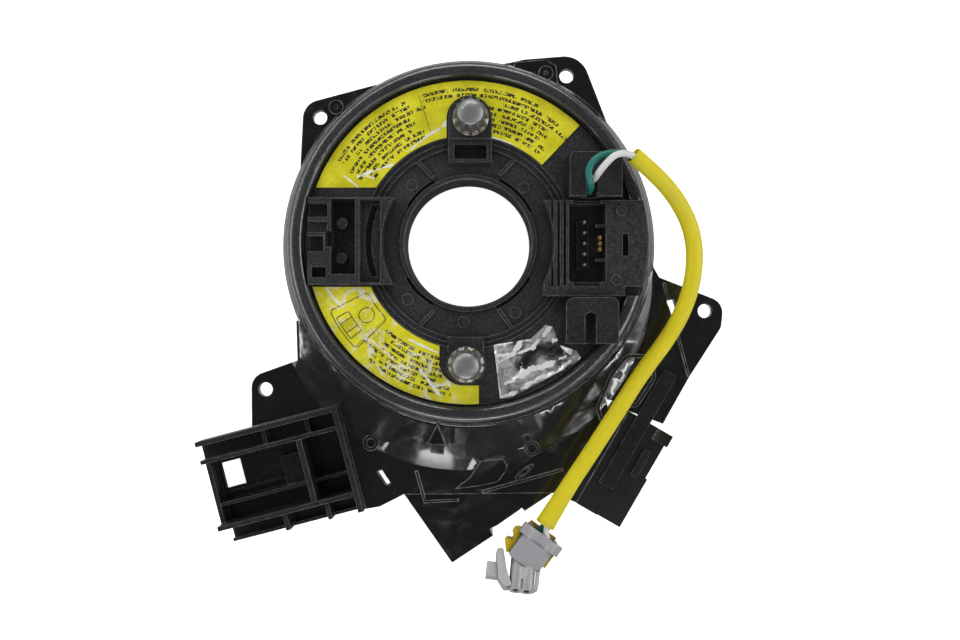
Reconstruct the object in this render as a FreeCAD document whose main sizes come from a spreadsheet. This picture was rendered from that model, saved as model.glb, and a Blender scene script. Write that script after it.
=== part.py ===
"""Steering clock spring: a winding cassette between a steering column and a steering wheel.

The stator is screwed to the column by its four ears. The rotor sits in it, turns with the
wheel and carries the sockets, two driving pegs, labels and a sleeved two-wire lead.
Millimetres. Origin: bore axis on the back plane. +Z points at the wheel, +Y up, +X right.
"""
import FreeCAD, Part
import Sketcher
import math
import os
import re
from FreeCAD import Placement, Rotation, Vector

doc = FreeCAD.newDocument("clock_spring")
sheet = doc.addObject("Spreadsheet::Sheet", "sheet")

# Driving sizes, in millimetres, degrees and counts
SIZES = {
    "bore_radius": 19.6, "bore_start": 13.0, "column_radius": 21.0, "sleeve_top": 31.4,
    "journal_radius": 23.0, "journal_play": 0.06, "drum_radius": 26.0, "drum_foot": 3.0,
    "lip_radius": 21.15, "lip_foot": 28.5,
    "rotor_radius": 55.2, "rim_width": 4.5, "rim_top": 36.0, "rim_foot": 26.8,
    "floor_top": 33.0, "floor_thick": 2.0, "hub_top": 30.6, "skirt_inset": 2.8,
    "skirt_thick": 1.4, "skirt_foot": 23.0,
    "skirt_play": 0.6, "wall_thick": 3.5, "wall_top": 26.0,
    "cover_thick": 2.0, "collar_rise": 0.8, "collar_width": 1.5,
    "plate_low": 12.0, "plate_top": 15.0, "ear_hole_radius": 2.25, "apron_width": 3.5,
    "apron_rise": 5.0, "saddle_rise": 3.6,
    "housing_low": 2.0, "header_depth": 9.0,
    "bay_length": 46.8, "bay_top": 20.0, "bay_floor": 4.0, "ridge_rise": 0.8,
    "ribbon_low": 6.0, "ribbon_height": 15.0, "ribbon_thick": 0.4, "ribbon_inner": 31.0,
    "block_top": 37.0, "block_low": 27.0, "insert_play": 0.05, "socket_depth": 8.0,
    "cap_top": 42.0, "cap_slot": 3.3, "pin_radius": 0.4, "pin_pitch": 3.25,
    "peg_base_radius": 5.6, "peg_core_radius": 4.6, "peg_top_radius": 3.9, "peg_height": 11.5,
    "peg_foot": 34.5, "peg_rib": 0.9,
    "label_inner": 32.9, "label_gap": 0.3, "label_thick": 0.2,
    "sleeve_outer": 2.6, "sleeve_bore": 2.2, "wire_radius": 1.0, "wire_stack": 1.07,
    "plug_width": 13.9, "plug_body_width": 10.8, "plug_thick": 7.0,
    "lock_gap": 0.1, "lock_travel": 2.5, "nose_length": 10.4, "nose_radius": 2.2,
    "nose_pitch": 3.4,
}

# Sizes that follow from the driving ones
FOLLOWING = {
    "rim_inner": "rotor_radius - rim_width",
    "skirt_outer": "rotor_radius - skirt_inset",
    "skirt_inner": "skirt_outer - skirt_thick",
    "wall_inner": "skirt_outer + skirt_play",
    "wall_outer": "wall_inner + wall_thick",
    "apron_radius": "wall_outer + apron_width",
    "label_outer": "rim_inner - label_gap",
    "ribbon_pitch": "(wall_inner - ribbon_inner - 5) / 5",
    "hub_step": "(floor_top - hub_top) / 3",
}
for row, (alias, size) in enumerate((SIZES | FOLLOWING).items(), start=1):
    sheet.set(f"A{row}", alias)
    sheet.set(f"B{row}", f"={size}" if alias in FOLLOWING else str(size))
    sheet.setAlias(f"B{row}", alias)
    doc.recompute()

NAMES = sorted(SIZES | FOLLOWING, key=len, reverse=True)
ALIAS = re.compile(r"\b(" + "|".join(NAMES) + r")\b")
PARTS = {}


def val(formula):
    """Return the number that a formula of sheet names gives now."""
    if isinstance(formula, (int, float)):
        return float(formula)
    return float(sheet.evalExpression(formula))


def bind(obj, prop, formula):
    """Set a property to a number, or tie it to the sheet by a formula."""
    if isinstance(formula, (int, float)):
        setattr(obj, prop, formula)
    else:
        obj.setExpression(prop, ALIAS.sub(r"sheet.\1", formula))


def place(obj, x, y, z, turn=0.0):
    """Stand an object at a point, turned about Z; the point may hold formulas."""
    at = Vector(val(x), val(y), val(z))
    obj.Placement = Placement(at, Rotation(Vector(0, 0, 1), turn))
    for axis, value in zip("xyz", (x, y, z)):
        if not isinstance(value, (int, float)):
            bind(obj, f".Placement.Base.{axis}", value)


def box(name, x, y, z, lx, ly, lz, turn=0.0):
    """Block with its low corner at x, y, z."""
    obj = doc.addObject("Part::Box", name)
    place(obj, x, y, z, turn)
    for prop, value in zip(("Length", "Width", "Height"), (lx, ly, lz)):
        bind(obj, prop, value)
    return obj


def cylinder(name, x, y, z, radius, height):
    """Upright cylinder standing at x, y, z."""
    obj = doc.addObject("Part::Cylinder", name)
    place(obj, x, y, z)
    bind(obj, "Radius", radius)
    bind(obj, "Height", height)
    return obj


def cone(name, x, y, z, low, high, height):
    """Upright cone frustum standing at x, y, z."""
    obj = doc.addObject("Part::Cone", name)
    place(obj, x, y, z)
    bind(obj, "Radius1", low)
    bind(obj, "Radius2", high)
    bind(obj, "Height", height)
    return obj


def outline(corners):
    """Lines and tangent arcs round a closed outline of x, y or x, y, radius corners."""
    count = len(corners)
    starts, ends, arcs = [], [], []
    for number, corner in enumerate(corners):
        here = Vector(corner[0], corner[1], 0)
        radius = corner[2] if len(corner) == 3 else 0.0
        if radius == 0.0:
            starts.append(here)
            ends.append(here)
            continue
        back = Vector(*corners[number - 1][:2], 0) - here
        ahead = Vector(*corners[(number + 1) % count][:2], 0) - here
        half = back.getAngle(ahead) / 2
        reach = radius / math.tan(half)
        back.normalize()
        ahead.normalize()
        between = (back + ahead).normalize()
        middle = here + between * (radius / math.sin(half) - radius)
        starts.append(here + back * reach)
        ends.append(here + ahead * reach)
        arcs.append(Part.Arc(starts[-1], middle, ends[-1]))
    lines = [Part.LineSegment(ends[n], starts[(n + 1) % count]) for n in range(count)
             if ends[n].distanceToPoint(starts[(n + 1) % count]) > 1e-6]
    return lines + arcs


def prism(name, corners, z, height, frame=None):
    """Block over a closed outline, pushed along Z, or along a turned frame's own Z."""
    sketch = doc.addObject("Sketcher::SketchObject", name + "_outline")
    if frame is None:
        place(sketch, 0, 0, z)
    else:
        sketch.Placement = frame
    for line in outline(corners):
        sketch.addGeometry(line, False)
    obj = doc.addObject("Part::Extrusion", name)
    obj.Base = sketch
    obj.DirMode = "Normal"
    obj.Solid = True
    bind(obj, "LengthFwd", height)
    return obj


def fuse(name, *shapes):
    """Join objects into one."""
    obj = doc.addObject("Part::MultiFuse", name)
    obj.Shapes = list(shapes)
    obj.Refine = True
    return obj


def cut(name, base, *tools):
    """Take tools away from a base, one after the other."""
    for number, tool in enumerate(tools, start=1):
        last = number == len(tools)
        obj = doc.addObject("Part::Cut", name if last else f"{name}_{number}")
        obj.Base = base
        obj.Tool = tool
        obj.Refine = last
        base = obj
    return base


def draw(sketch, points):
    """Draw a closed outline in a sketch and tie each corner to its formulas.

    A point is across, up. A third value is the radius of the arc that leads to it; the
    outline runs clockwise, so that the arc's centre is on its right.
    """
    spots = [Vector(val(p[0]), val(p[1]), 0) for p in points]
    for number, here in enumerate(spots):
        after = spots[(number + 1) % len(spots)]
        target = points[(number + 1) % len(points)]
        if len(target) == 3:
            chord = after - here
            radius = max(val(target[2]), chord.Length / 2)
            height = math.sqrt(radius ** 2 - (chord.Length / 2) ** 2)
            side = Vector(chord.y, -chord.x, 0).normalize()
            centre = (here + after) / 2 + side * height
            start, end = ((p - centre) for p in (after, here))
            circle = Part.Circle(centre, Vector(0, 0, 1), radius)
            sketch.addGeometry(Part.ArcOfCircle(circle, math.atan2(start.y, start.x),
                                                math.atan2(end.y, end.x)), False)
        else:
            sketch.addGeometry(Part.LineSegment(here, after), False)
    for number, point in enumerate(points):
        before, target = number - 1 if number else len(points) - 1, number
        first = 2 if len(points[(number + 1) % len(points)]) == 3 else 1
        last = 1 if len(point) == 3 else 2
        sketch.addConstraint(Sketcher.Constraint("Coincident", before, last, target, first))
        for kind, formula in (("DistanceX", point[0]), ("DistanceY", point[1])):
            tie(sketch, Sketcher.Constraint(kind, -1, 1, target, first, val(formula)), formula)
        if len(point) == 3:
            tie(sketch, Sketcher.Constraint("Radius", before, val(point[2])), point[2])


def tie(sketch, constraint, formula):
    """Add a constraint to a sketch and bind it to its formula."""
    index = sketch.addConstraint(constraint)
    if isinstance(formula, str):
        sketch.setExpression(f"Constraints[{index}]", ALIAS.sub(r"sheet.\1", formula))


def lathe(name, points):
    """Turned body from a tied outline of radius and height."""
    sketch = doc.addObject("Sketcher::SketchObject", name + "_profile")
    sketch.Placement = Placement(Vector(0, 0, 0), Rotation(Vector(1, 0, 0), 90))
    draw(sketch, points)
    turned = doc.addObject("Part::Revolution", name)
    turned.Source = sketch
    turned.Axis = (0, 0, 1)
    turned.Base = (0, 0, 0)
    turned.Angle = 360
    turned.Solid = True
    return turned


def pushed(name, points, frame, length):
    """Body from a tied outline in a frame, pushed along the frame's own Z."""
    sketch = doc.addObject("Sketcher::SketchObject", name + "_section")
    sketch.Placement = frame
    draw(sketch, points)
    obj = doc.addObject("Part::Extrusion", name)
    obj.Base = sketch
    obj.DirMode = "Normal"
    obj.Solid = True
    bind(obj, "LengthFwd", length)
    return obj


def rim(name, corners, width, rise, frame=None):
    """Raised rim that runs round the inside of an outline on the plate."""
    outer = prism(name + "_outer", corners, "plate_top", rise, frame)
    inset = doc.addObject("Part::Offset2D", name + "_inset")
    inset.Source = outer.Base
    inset.Value = -width
    inner = doc.addObject("Part::Extrusion", name + "_inner")
    inner.Base = inset
    inner.DirMode = "Custom"
    inner.Dir = (0, 0, 1)
    inner.Solid = True
    inner.LengthFwd = 2 * rise
    return cut(name, outer, inner)


def common(name, *shapes):
    """Keep what all the objects share."""
    obj = doc.addObject("Part::MultiCommon", name)
    obj.Shapes = list(shapes)
    return obj


def feature(name, shape):
    """Keep a shape that was worked out from the sheet as a document object."""
    obj = doc.addObject("Part::Feature", name)
    obj.Shape = shape
    return obj


def keep(name, obj):
    """Name a finished piece; the name is also its file's name."""
    obj.Label = name
    PARTS[name] = obj
    return obj


def turned_boxes(name, corner, turn, blocks):
    """Fuse blocks given in a turned frame as u, v, z, length, width, height."""
    axis = math.radians(turn)
    made = []
    for number, (u, v, z, lu, lv, lz) in enumerate(blocks):
        x = corner[0] + u * math.cos(axis) - v * math.sin(axis)
        y = corner[1] + u * math.sin(axis) + v * math.cos(axis)
        made.append(box(f"{name}_{number}", x, y, z, lu, lv, lz, turn))
    return made[0] if len(made) == 1 else fuse(name, *made)


# Stator housing: ring wall, apron, plate with four ears, lower connector housing
EAR_HOLES = [(-48.0, 41.6), (31.6, 55.0), (76.3, -20.9), (-65.6, -46.2)]
PLATE = [
    (-54.5, 23.7), (-53.4, 46.0, 6.0), (-30.6, 52.1), (13.4, 59.4), (17.9, 60.4),
    (36.2, 61.9, 8.0), (44.9, 39.5), (57.6, 2.0), (59.9, -7.0), (61.6, -10.0), (82.4, -18.2, 5.0),
    (81.6, -26.2, 4.0), (71.2, -42.4), (62.8, -57.4), (51.85, -53.3), (34.8, -82.85),
    (27.3, -79.7), (-21.0, -80.2), (-28.7, -84.1), (-33.3, -84.9), (-42.1, -51.1),
    (-70.1, -58.3), (-70.2, -42.1, 5.0), (-54.2, -36.4, 1.5), (-54.6, -23.5), (-56.0, -17.3),
]
LOWER_HOUSING = [
    (-22.0, -70.0), (-21.0, -80.2), (-5.4, -102.5), (7.9, -93.7), (6.9, -91.5), (9.2, -90.4),
    (16.4, -85.4), (17.1, -84.7), (18.2, -85.7), (27.3, -79.7), (30.0, -66.0),
]


OVAL = [
    (56.5, -34.9, 3.0), (60.2, -37.6, 3.0), (60.2, -43.0, 4.0), (54.6, -51.6, 1.5),
    (51.0, -52.2, 1.5), (47.0, -58.4, 1.5), (43.4, -58.6, 2.5), (40.9, -52.2, 4.0),
    (45.3, -41.5, 6.0), (50.5, -34.8, 4.0),
]
LEAF = [(-5.0, -0.1, 0.4), (0.0, 1.15, 4.0), (5.0, 0.1, 0.4), (0.0, -1.15, 4.0)]
WING = [
    (-4.4, -78.2), (3.7, -77.2), (9.4, -75.9, 2.0), (12.7, -71.4, 2.0), (11.1, -68.5, 1.0),
    (4.0, -69.2), (0.4, -74.6),
]


def saddle():
    """Slope from the ring wall down to the lower housing: a cone set off to the south."""
    slope = cone("saddle_slope", -2.0, -11.0, "plate_top", "apron_radius + 1.3",
                 "apron_radius - 12.5", "saddle_rise")
    return common("saddle", slope, prism("saddle_span", PLATE, "plate_top - 1", 6.0))


def stator_housing():
    """Ring wall with its ears and the lower connector housing, one moulding."""
    plate = prism("plate", PLATE, "plate_low", "plate_top - plate_low")
    lower = prism("lower_block", LOWER_HOUSING, "housing_low", "plate_top - housing_low - 1")
    wall = cylinder("wall_round", 0, 0, "cover_thick", "wall_outer", "wall_top - cover_thick")
    apron = cone("apron", 0, 0, "plate_top", "apron_radius", "wall_outer + 0.6", "apron_rise")
    foot = cylinder("apron_foot", 0, 0, "plate_low", "apron_radius", "plate_top - plate_low")
    step = cylinder("wall_step", 0, 0, "plate_low", "wall_outer + 0.6",
                    "wall_top - plate_low - 3")
    pointer = prism("pointer", [(-9.9, -57.2), (-13.2, -63.4), (-7.4, -63.7)], "plate_top",
                    "apron_rise - 0.5")
    bosses = [
        cylinder("boss_low", 20.4, -65.1, "plate_top", 2.4, 2.2),
        cylinder("boss_pit", -31.6, -63.5, "plate_top", 2.5, 0.8),
        cylinder("boss_left", -42.8, 44.9, "plate_top", 2.3, 0.8),
        cylinder("boss_top", 24.9, 55.8, "plate_top", 2.3, 1.2),
        prism("top_platform", [(12.0, 50.0), (15.0, 59.4), (25.0, 60.2), (28.2, 58.2),
                               (28.9, 50.0)], "plate_top", 0.8),
    ]
    ridges = [
        strip("ridge_a", (-17.3, -72.6), (-14.4, -82.9), 0.9),
        strip("ridge_b", (-14.4, -82.9), (-3.1, -82.3), 0.9),
        strip("ridge_c", (4.5, -79.7), (30.5, -72.5), 0.9),
        strip("ridge_e", (-55.6, -24.0), (-55.2, -37.0), 0.8),
        strip("ridge_f", (62.6, -12.0), (70.6, -42.0), 0.8),
    ]
    forms = [
        rim("oval_rim", OVAL, 1.1, 1.6),
        rim("leaf_rim", LEAF, 0.55, 1.2, Placement(Vector(18.0, -72.7, val("plate_top")),
                                                   Rotation(Vector(0, 0, 1), 35.8))),
        prism("wing", WING, "plate_top", 1.5), saddle(),
    ]
    bay_root = prism("bay_root", [(-38.0, -50.0), (-33.6, -62.0), (-30.0, -80.0),
                                  (-21.0, -79.6), (-20.0, -56.0)], "housing_low",
                     "plate_low - housing_low")
    right_root = prism("right_root", [(62.0, -40.0), (59.5, -55.6), (51.8, -52.9),
                                      (42.5, -69.2), (36.0, -52.0), (52.0, -30.0)], "housing_low",
                       "plate_low - housing_low")
    body = fuse("stator_body", plate, lower, wall, apron, foot, step, pointer, bay_root,
                right_root, *forms, *bosses, *ridges)
    chamber = cylinder("chamber", 0, 0, 0, "wall_inner", "wall_top + 1")
    holes = [cylinder(f"ear_hole_{n}", x, y, 0, "ear_hole_radius", "wall_top")
             for n, (x, y) in enumerate(EAR_HOLES)]
    pocket = turned_boxes("header_pocket", (-9.0, -94.5), 34.0,
                          [(0, 0, "housing_low - 1", 26.0, 9.0, "header_depth + 1")])
    slit = prism("slit", [(64.0, -17.6), (66.2, -17.2), (68.2, -23.6), (66.4, -25.1)], 0,
                 "wall_top")
    small_slit = prism("small_slit", [(-29.6, -72.8), (-28.0, -72.3), (-25.2, -76.6),
                                      (-26.6, -77.2)], 0, "wall_top")
    reliefs = [
        prism("slit_relief", [(-30.6, -74.6), (-29.8, -72.6), (-28.0, -72.1), (-25.0, -76.6),
                              (-25.8, -78.4), (-27.6, -79.0)], 0, "plate_low"),
        prism("hole_relief", [(44.2, -49.2), (46.8, -49.8), (48.6, -51.0), (46.8, -53.6),
                              (44.8, -52.4)], 0, "plate_low"),
    ]
    dimples = [cylinder("dimple_left", -42.8, 44.9, "plate_top + 0.3", 0.6, 2.0),
               box("dimple_top", 24.4, 55.3, "plate_top + 0.4", 1.0, 1.0, 2.0),
               cylinder("dimple_low", -31.6, -63.5, "plate_top - 1", 1.4, 3.0),
               cylinder("dimple_boss", 20.4, -65.1, "plate_top + 1.2", 1.5, 2.0),
               prism("rim_hole", [(44.4, -49.4), (46.8, -50.0), (45.0, -52.2)], 0, "wall_top")]
    return keep("stator_housing", cut("stator_cut", body, chamber, pocket, slit, small_slit,
                                      *reliefs, *holes, *dimples))


def strip(name, start, end, width, rise=0.8):
    """Thin raised rib on the plate between two points."""
    length = math.dist(start, end)
    turn = math.degrees(math.atan2(end[1] - start[1], end[0] - start[0]))
    return box(name, start[0], start[1], "plate_top", length, width, rise, turn)


def back_cover():
    """Flat ring that closes the winding chamber and carries the journal collar."""
    disc = cylinder("cover_disc", 0, 0, 0, "wall_outer", "cover_thick")
    spigot = cylinder("cover_spigot", 0, 0, 0, "wall_inner - 0.15", "cover_thick + 2.0")
    hollow = cylinder("cover_hollow", 0, 0, "cover_thick", "wall_inner - 1.9", 3.0)
    collar = cylinder("cover_collar", 0, 0, 0, "journal_radius + collar_width",
                      "cover_thick + collar_rise")
    rim = cut("cover_rim", fuse("cover_base", disc, spigot), hollow)
    eye = cylinder("cover_eye", 0, 0, -1, "journal_radius + journal_play", 8.0)
    return keep("back_cover", cut("cover_cut", fuse("cover_body", rim, collar), eye))


# Stalk switch bays, given in frames turned with them
LEFT_BAY_END = (-42.21, -51.2)
LEFT_BAY_TURN = 14.6
RIGHT_BAY_CORNER = (65.8, -61.4)
RIGHT_BAY_TURN = -120.0
BAY_SECTION = [
    (0.0, 10.0), (0.0, "bay_top"), (1.6, "bay_top"), (1.6, 12.0), (6.2, 12.0),
    (6.2, "bay_top - 1"), (7.5, "bay_top - 1"), (7.5, "bay_floor"), (21.6, "bay_floor"),
    (21.6, 12.0), (22.7, 12.0), (22.7, "bay_floor"), (28.0, "bay_floor"),
    (28.0, "bay_top - 1"), (29.5, "bay_top - 1"), (29.5, 8.0), (33.8, 8.0), (33.8, 11.0),
    (34.8, 11.0), (34.8, 6.0), (29.5, 6.0), (29.5, 0.0), (28.0, 0.0), (28.0, "bay_floor - 2"),
    (7.5, "bay_floor - 2"), (7.5, 0.0), (6.2, 0.0), (6.2, 10.0),
]
RIGHT_SLAB = [
    (0.0, -16.0), (0.0, 0.0), (4.0, 0.0), (4.0, -0.7), (16.2, -0.7), (16.2, 0.0), (34.0, 0.0),
    (34.0, -8.4), (34.2, -8.4), (34.2, -16.0),
]


def section_frame(corner, turn, along=0.0):
    """Frame of a bay's section: across it and up, with its own Z back along the bay."""
    axis = math.radians(turn)
    ahead = Vector(math.cos(axis), math.sin(axis), 0)
    across = Vector(math.sin(axis), -math.cos(axis), 0)
    at = Vector(*corner, 0) + ahead * along
    return Placement(FreeCAD.Matrix(across.x, 0, -ahead.x, at.x, across.y, 0, -ahead.y, at.y,
                                    0, 1, 0, 0, 0, 0, 0, 1))


def bay_blocks(name, blocks):
    """Blocks in the left bay's frame, given as along, across, z, length, width, height."""
    axis = math.radians(LEFT_BAY_TURN)
    reach = val("bay_length")
    corner = (LEFT_BAY_END[0] - reach * math.cos(axis), LEFT_BAY_END[1] - reach * math.sin(axis))
    return turned_boxes(name, corner, LEFT_BAY_TURN,
                        [(u, -v - lv, z, lu, lv, lz) for u, v, z, lu, lv, lz in blocks])


def left_bay():
    """Open tray on the left: one section pushed along it, with ribs and a window."""
    tray = pushed("bay_section", BAY_SECTION, section_frame(LEFT_BAY_END, LEFT_BAY_TURN),
                  "bay_length")
    ribs = [
        (0.0, 7.5, 2.0, 1.4, 20.5, 11.0), (31.5, 7.5, 2.0, 1.8, 20.5, "bay_top - 2"),
        (val("bay_length") - 1.8, 0.0, 0.0, 1.8, 34.8, "bay_top"),
        (23.0, 12.0, 2.0, 8.5, 9.6, 6.0),
        (20.9, 1.6, 10.0, 1.3, 4.6, 7.0), (35.2, 1.6, 10.0, 1.3, 4.6, 7.0),
        (21.0, 29.5, 6.0, 1.5, 5.3, 12.0), (35.0, 29.5, 6.0, 1.3, 5.3, 12.0),
        (1.4, 18.8, 2.0, 21.6, 0.9, 3.5),
    ]
    window = bay_blocks("bay_window", [(2.6, 9.4, -1.0, 6.6, 8.6, 9.0)])
    corners = bay_blocks("bay_corners", [(-1.0, 29.5, -1.0, 3.0, 7.0, 30.0),
                                         (-1.0, -1.0, -1.0, 1.6, 8.4, 12.0)])
    body = fuse("bay_body", tray, bay_blocks("bay_ribs", ribs))
    return keep("left_stalk_bay", cut("bay_cut", body, window, corners))


def right_bay():
    """Flat slab on the right, hollow underneath, with a long low ridge on its top."""
    turn = Rotation(Vector(0, 0, 1), RIGHT_BAY_TURN)

    def level(z):
        return Placement(Vector(*RIGHT_BAY_CORNER, val(z)), turn)

    slab = prism("right_slab", RIGHT_SLAB, 0, "plate_top - housing_low", level("housing_low"))
    pockets = [
        prism(f"right_pocket_{number}", [(u, -14.4, 1.0), (u, -1.8, 1.0), (u + 14.4, -1.8, 1.0),
                                         (u + 14.4, -14.4, 1.0)], 0, 10.6, level(1.0))
        for number, u in enumerate((1.8, 17.8))]
    ridge = prism("right_ridge", [(-17.5, -13.2, 0.5), (-17.5, -8.4, 0.5), (24.6, -8.4, 0.5),
                                  (24.6, -13.2, 0.5)], 0, "ridge_rise", level("plate_top"))
    bar = prism("right_bar", [(8.0, -5.8, 0.7), (8.0, -3.4, 0.7), (17.4, -3.4, 0.7),
                              (17.4, -5.8, 0.7)], 0, 1.2, level("plate_top"))
    corner = pushed("right_corner", [(0.0, 14.0), (0.0, 16.8), (2.6, 16.8), (5.4, 15.0),
                                     (5.4, 14.0)],
                    section_frame(RIGHT_BAY_CORNER, RIGHT_BAY_TURN, 4.0), 4.0)
    body = fuse("right_body", slab, ridge, bar, corner)
    return keep("right_stalk_bay", cut("right_cut", body, *pockets))


def column_header():
    """Column side plug insert and its row of pins, seated in the lower housing."""
    strip_block = turned_boxes("header_block", (-9.0, -94.5), 34.0,
                               [(0.1, 0.1, "housing_low + header_depth - 2.5", 25.8, 8.8, 2.4)])
    keep("column_header", strip_block)
    axis = math.radians(34.0)
    pins = []
    for number in range(8):
        u = 4.2 + 2.5 * number
        x = -9.0 + u * math.cos(axis) - 4.5 * math.sin(axis)
        y = -94.5 + u * math.sin(axis) + 4.5 * math.cos(axis)
        pins.append(box(f"header_pin_{number}", x - 0.3, y - 0.3, "housing_low + 3", 0.64, 0.64,
                        "header_depth - 5.5"))
    keep("column_pins", fuse("header_pins", *pins))


# Winding: the flat ribbon and its two end blocks
def ribbon():
    """Flat ribbon wound in half turns between the drum and the ring wall."""
    half = val("ribbon_thick") / 2
    step = val("ribbon_pitch") / 2
    radius = val("ribbon_inner")
    centre = 0.0
    inner, outer = [], []
    for turn in range(11):
        side = 1 if turn % 2 == 0 else -1
        for store, shift in ((outer, half), (inner, -half)):
            r = radius + shift
            a = Vector(centre + side * r, 0, 0)
            b = Vector(centre - side * r, 0, 0)
            middle = Vector(centre, r * side, 0)
            store.append(Part.Arc(a, middle, b))
        centre += side * step
        radius += step
    edges = [arc.toShape() for arc in outer]
    ends = Part.LineSegment(outer[-1].EndPoint, inner[-1].EndPoint).toShape()
    start = Part.LineSegment(inner[0].StartPoint, outer[0].StartPoint).toShape()
    back = [arc.toShape() for arc in reversed(inner)]
    wire = Part.Wire(Part.__sortEdges__(edges + [ends] + back + [start]))
    solid = Part.Face(wire).extrude(Vector(0, 0, val("ribbon_height")))
    obj = feature("ribbon_strip", solid)
    place(obj, 0, 0, "ribbon_low")
    keep("ribbon_cable", obj)
    last = outer[-1].EndPoint
    print("ribbon", round(outer[0].StartPoint.x, 2), "to", round(last.x, 2), "length",
          round(sum(arc.length() for arc in outer), 1))


def ribbon_blocks():
    """Blocks that hold the ribbon's ends on the drum and on the ring wall."""
    inner = box("inner_block", "drum_radius - 0.4", -6.0, "ribbon_low - 1",
                "ribbon_inner - drum_radius + 1.4", 6.0, "ribbon_height + 2")
    flank = cylinder("inner_flank", 0, 0, 0, "drum_radius + 0.02", "wall_top")
    keep("inner_terminal", cut("inner_terminal_cut", inner, flank))
    outer = box("outer_block", "0 - wall_inner", -7.0, "ribbon_low - 1",
                "wall_inner - ribbon_inner - 5*ribbon_pitch + 1", 7.0, "ribbon_height + 2")
    reach = cylinder("outer_reach", 0, 0, 0, "wall_inner - 0.02", "wall_top + 2")
    common = doc.addObject("Part::MultiCommon", "outer_common")
    common.Shapes = [outer, reach]
    keep("outer_terminal", common)


# Rotor: hub sleeve and cover
def hub_sleeve():
    """Turned sleeve with the wheel bore, the journal and the winding drum."""
    profile = [
        ("bore_radius", "bore_start"), ("bore_radius", "sleeve_top - 0.4"),
        ("bore_radius + 0.4", "sleeve_top"), ("lip_radius", "sleeve_top"),
        ("lip_radius", "lip_foot"), ("lip_radius + 1.6", "lip_foot"),
        ("lip_radius + 1.6", "drum_foot + 5"), ("drum_radius - 1.6", "drum_foot + 5"),
        ("drum_radius - 1.6", "lip_foot"), ("drum_radius", "lip_foot"),
        ("drum_radius", "drum_foot"), ("journal_radius", "drum_foot"), ("journal_radius", 0),
        ("column_radius", 0), ("column_radius", "bore_start - 1"),
    ]
    keep("hub_sleeve", lathe("sleeve_turned", profile))


def arc_slot(name, radius, width, low, high, start, end):
    """Curved slot about the bore axis between two angles."""
    outer = Part.makeCylinder(radius + width, high - low, Vector(0, 0, low), Vector(0, 0, 1),
                              end - start)
    inner = Part.makeCylinder(radius, high - low, Vector(0, 0, low))
    slot = outer.cut(inner)
    slot.rotate(Vector(0, 0, 0), Vector(0, 0, 1), start)
    return feature(name, slot)


LEFT_FOOT = (-48.9, -13.0, 27.6, 26.7)
RIGHT_FOOT = (23.0, -16.5, 34.0, 29.2)
UPPER_CAP = (30.6, 13.3, 15.8, 13.5)
LOWER_CAP = (29.5, -31.0, 15.9, 14.1)


def rotor_cover():
    """Top of the rotor: rim, label floor, stepped hub ring, peg pads and openings."""
    bore, inner, hub = "lip_radius", "rim_inner", "hub_top"
    under = "floor_top - floor_thick"
    profile = [
        (bore, "lip_foot"), (bore, hub), (bore + " + 8.4", hub),
        (bore + " + 8.4", hub + " + hub_step"), (bore + " + 10", hub + " + hub_step"),
        (bore + " + 10", "floor_top - hub_step"), (bore + " + 11.4", "floor_top - hub_step"),
        (bore + " + 11.4", "floor_top"), (inner + " - 0.9", "floor_top"),
        (inner + " - 0.9", "floor_top - 0.6"), (inner, "floor_top - 0.6"),
        (inner, "rim_top - 1.4"), (inner + " + 1.4", "rim_top", 1.4),
        ("rotor_radius - 2", "rim_top"), ("rotor_radius", "rim_top - 2", 2.0),
        ("rotor_radius", "rim_foot"), ("skirt_outer", "rim_foot"),
        ("skirt_outer", "skirt_foot"), ("skirt_inner", "skirt_foot"), ("skirt_inner", under),
        (bore + " + 13", under), (bore + " + 13", "lip_foot"),
    ]
    disc = lathe("cover_turned", profile)
    pads = [
        cylinder("pad_upper", 0.6, 38.2, "floor_top - 1", 6.5, "peg_foot - floor_top + 1"),
        box("pad_upper_foot", -5.9, 31.8, "floor_top - 1", 13.0, 6.4, "peg_foot - floor_top + 1"),
        cylinder("pad_lower", -0.6, -37.5, "floor_top - 1", 6.2, "peg_foot - floor_top + 1"),
        box("pad_lower_foot", -6.2, -37.0, "floor_top - 1", 11.0, 8.0,
            "peg_foot - floor_top + 1"),
        box("pocket_frame", -6.1, 24.8, "hub_top - 1", 13.3, 7.1, "floor_top - hub_top + 1.3"),
    ]
    body = fuse("cover_with_pads", disc, *pads, *hub_ribs())
    inset = "drum_radius + 0.3"
    openings = []
    for name, (x, y, lx, ly) in (("left", LEFT_FOOT), ("right", RIGHT_FOOT)):
        block = box(f"opening_{name}", x, y, 20.0, lx, ly, 30.0)
        core = cylinder(f"opening_core_{name}", 0, 0, 0, inset, 60.0)
        openings.append(cut(f"opening_cut_{name}", block, core))
    for name, (x, y, lx, ly) in (("upper", UPPER_CAP), ("lower", LOWER_CAP)):
        openings.append(box(f"seat_{name}", x, y, "floor_top", lx, ly, 20.0))
    pocket = box("pocket", -4.3, 25.7, "hub_top - 1.2", 10.1, 4.4, 10.0)
    slots = [
        arc_slot(f"snap_slot_{n}", val("lip_radius") - 0.1, 1.25, 25.0, 40.0, a, b)
        for n, (a, b) in enumerate(((26, 64), (118, 149), (209, 240), (293, 331)))
    ]
    keep("rotor_cover", cut("cover_finished", body, *openings, pocket, *slots))


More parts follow.
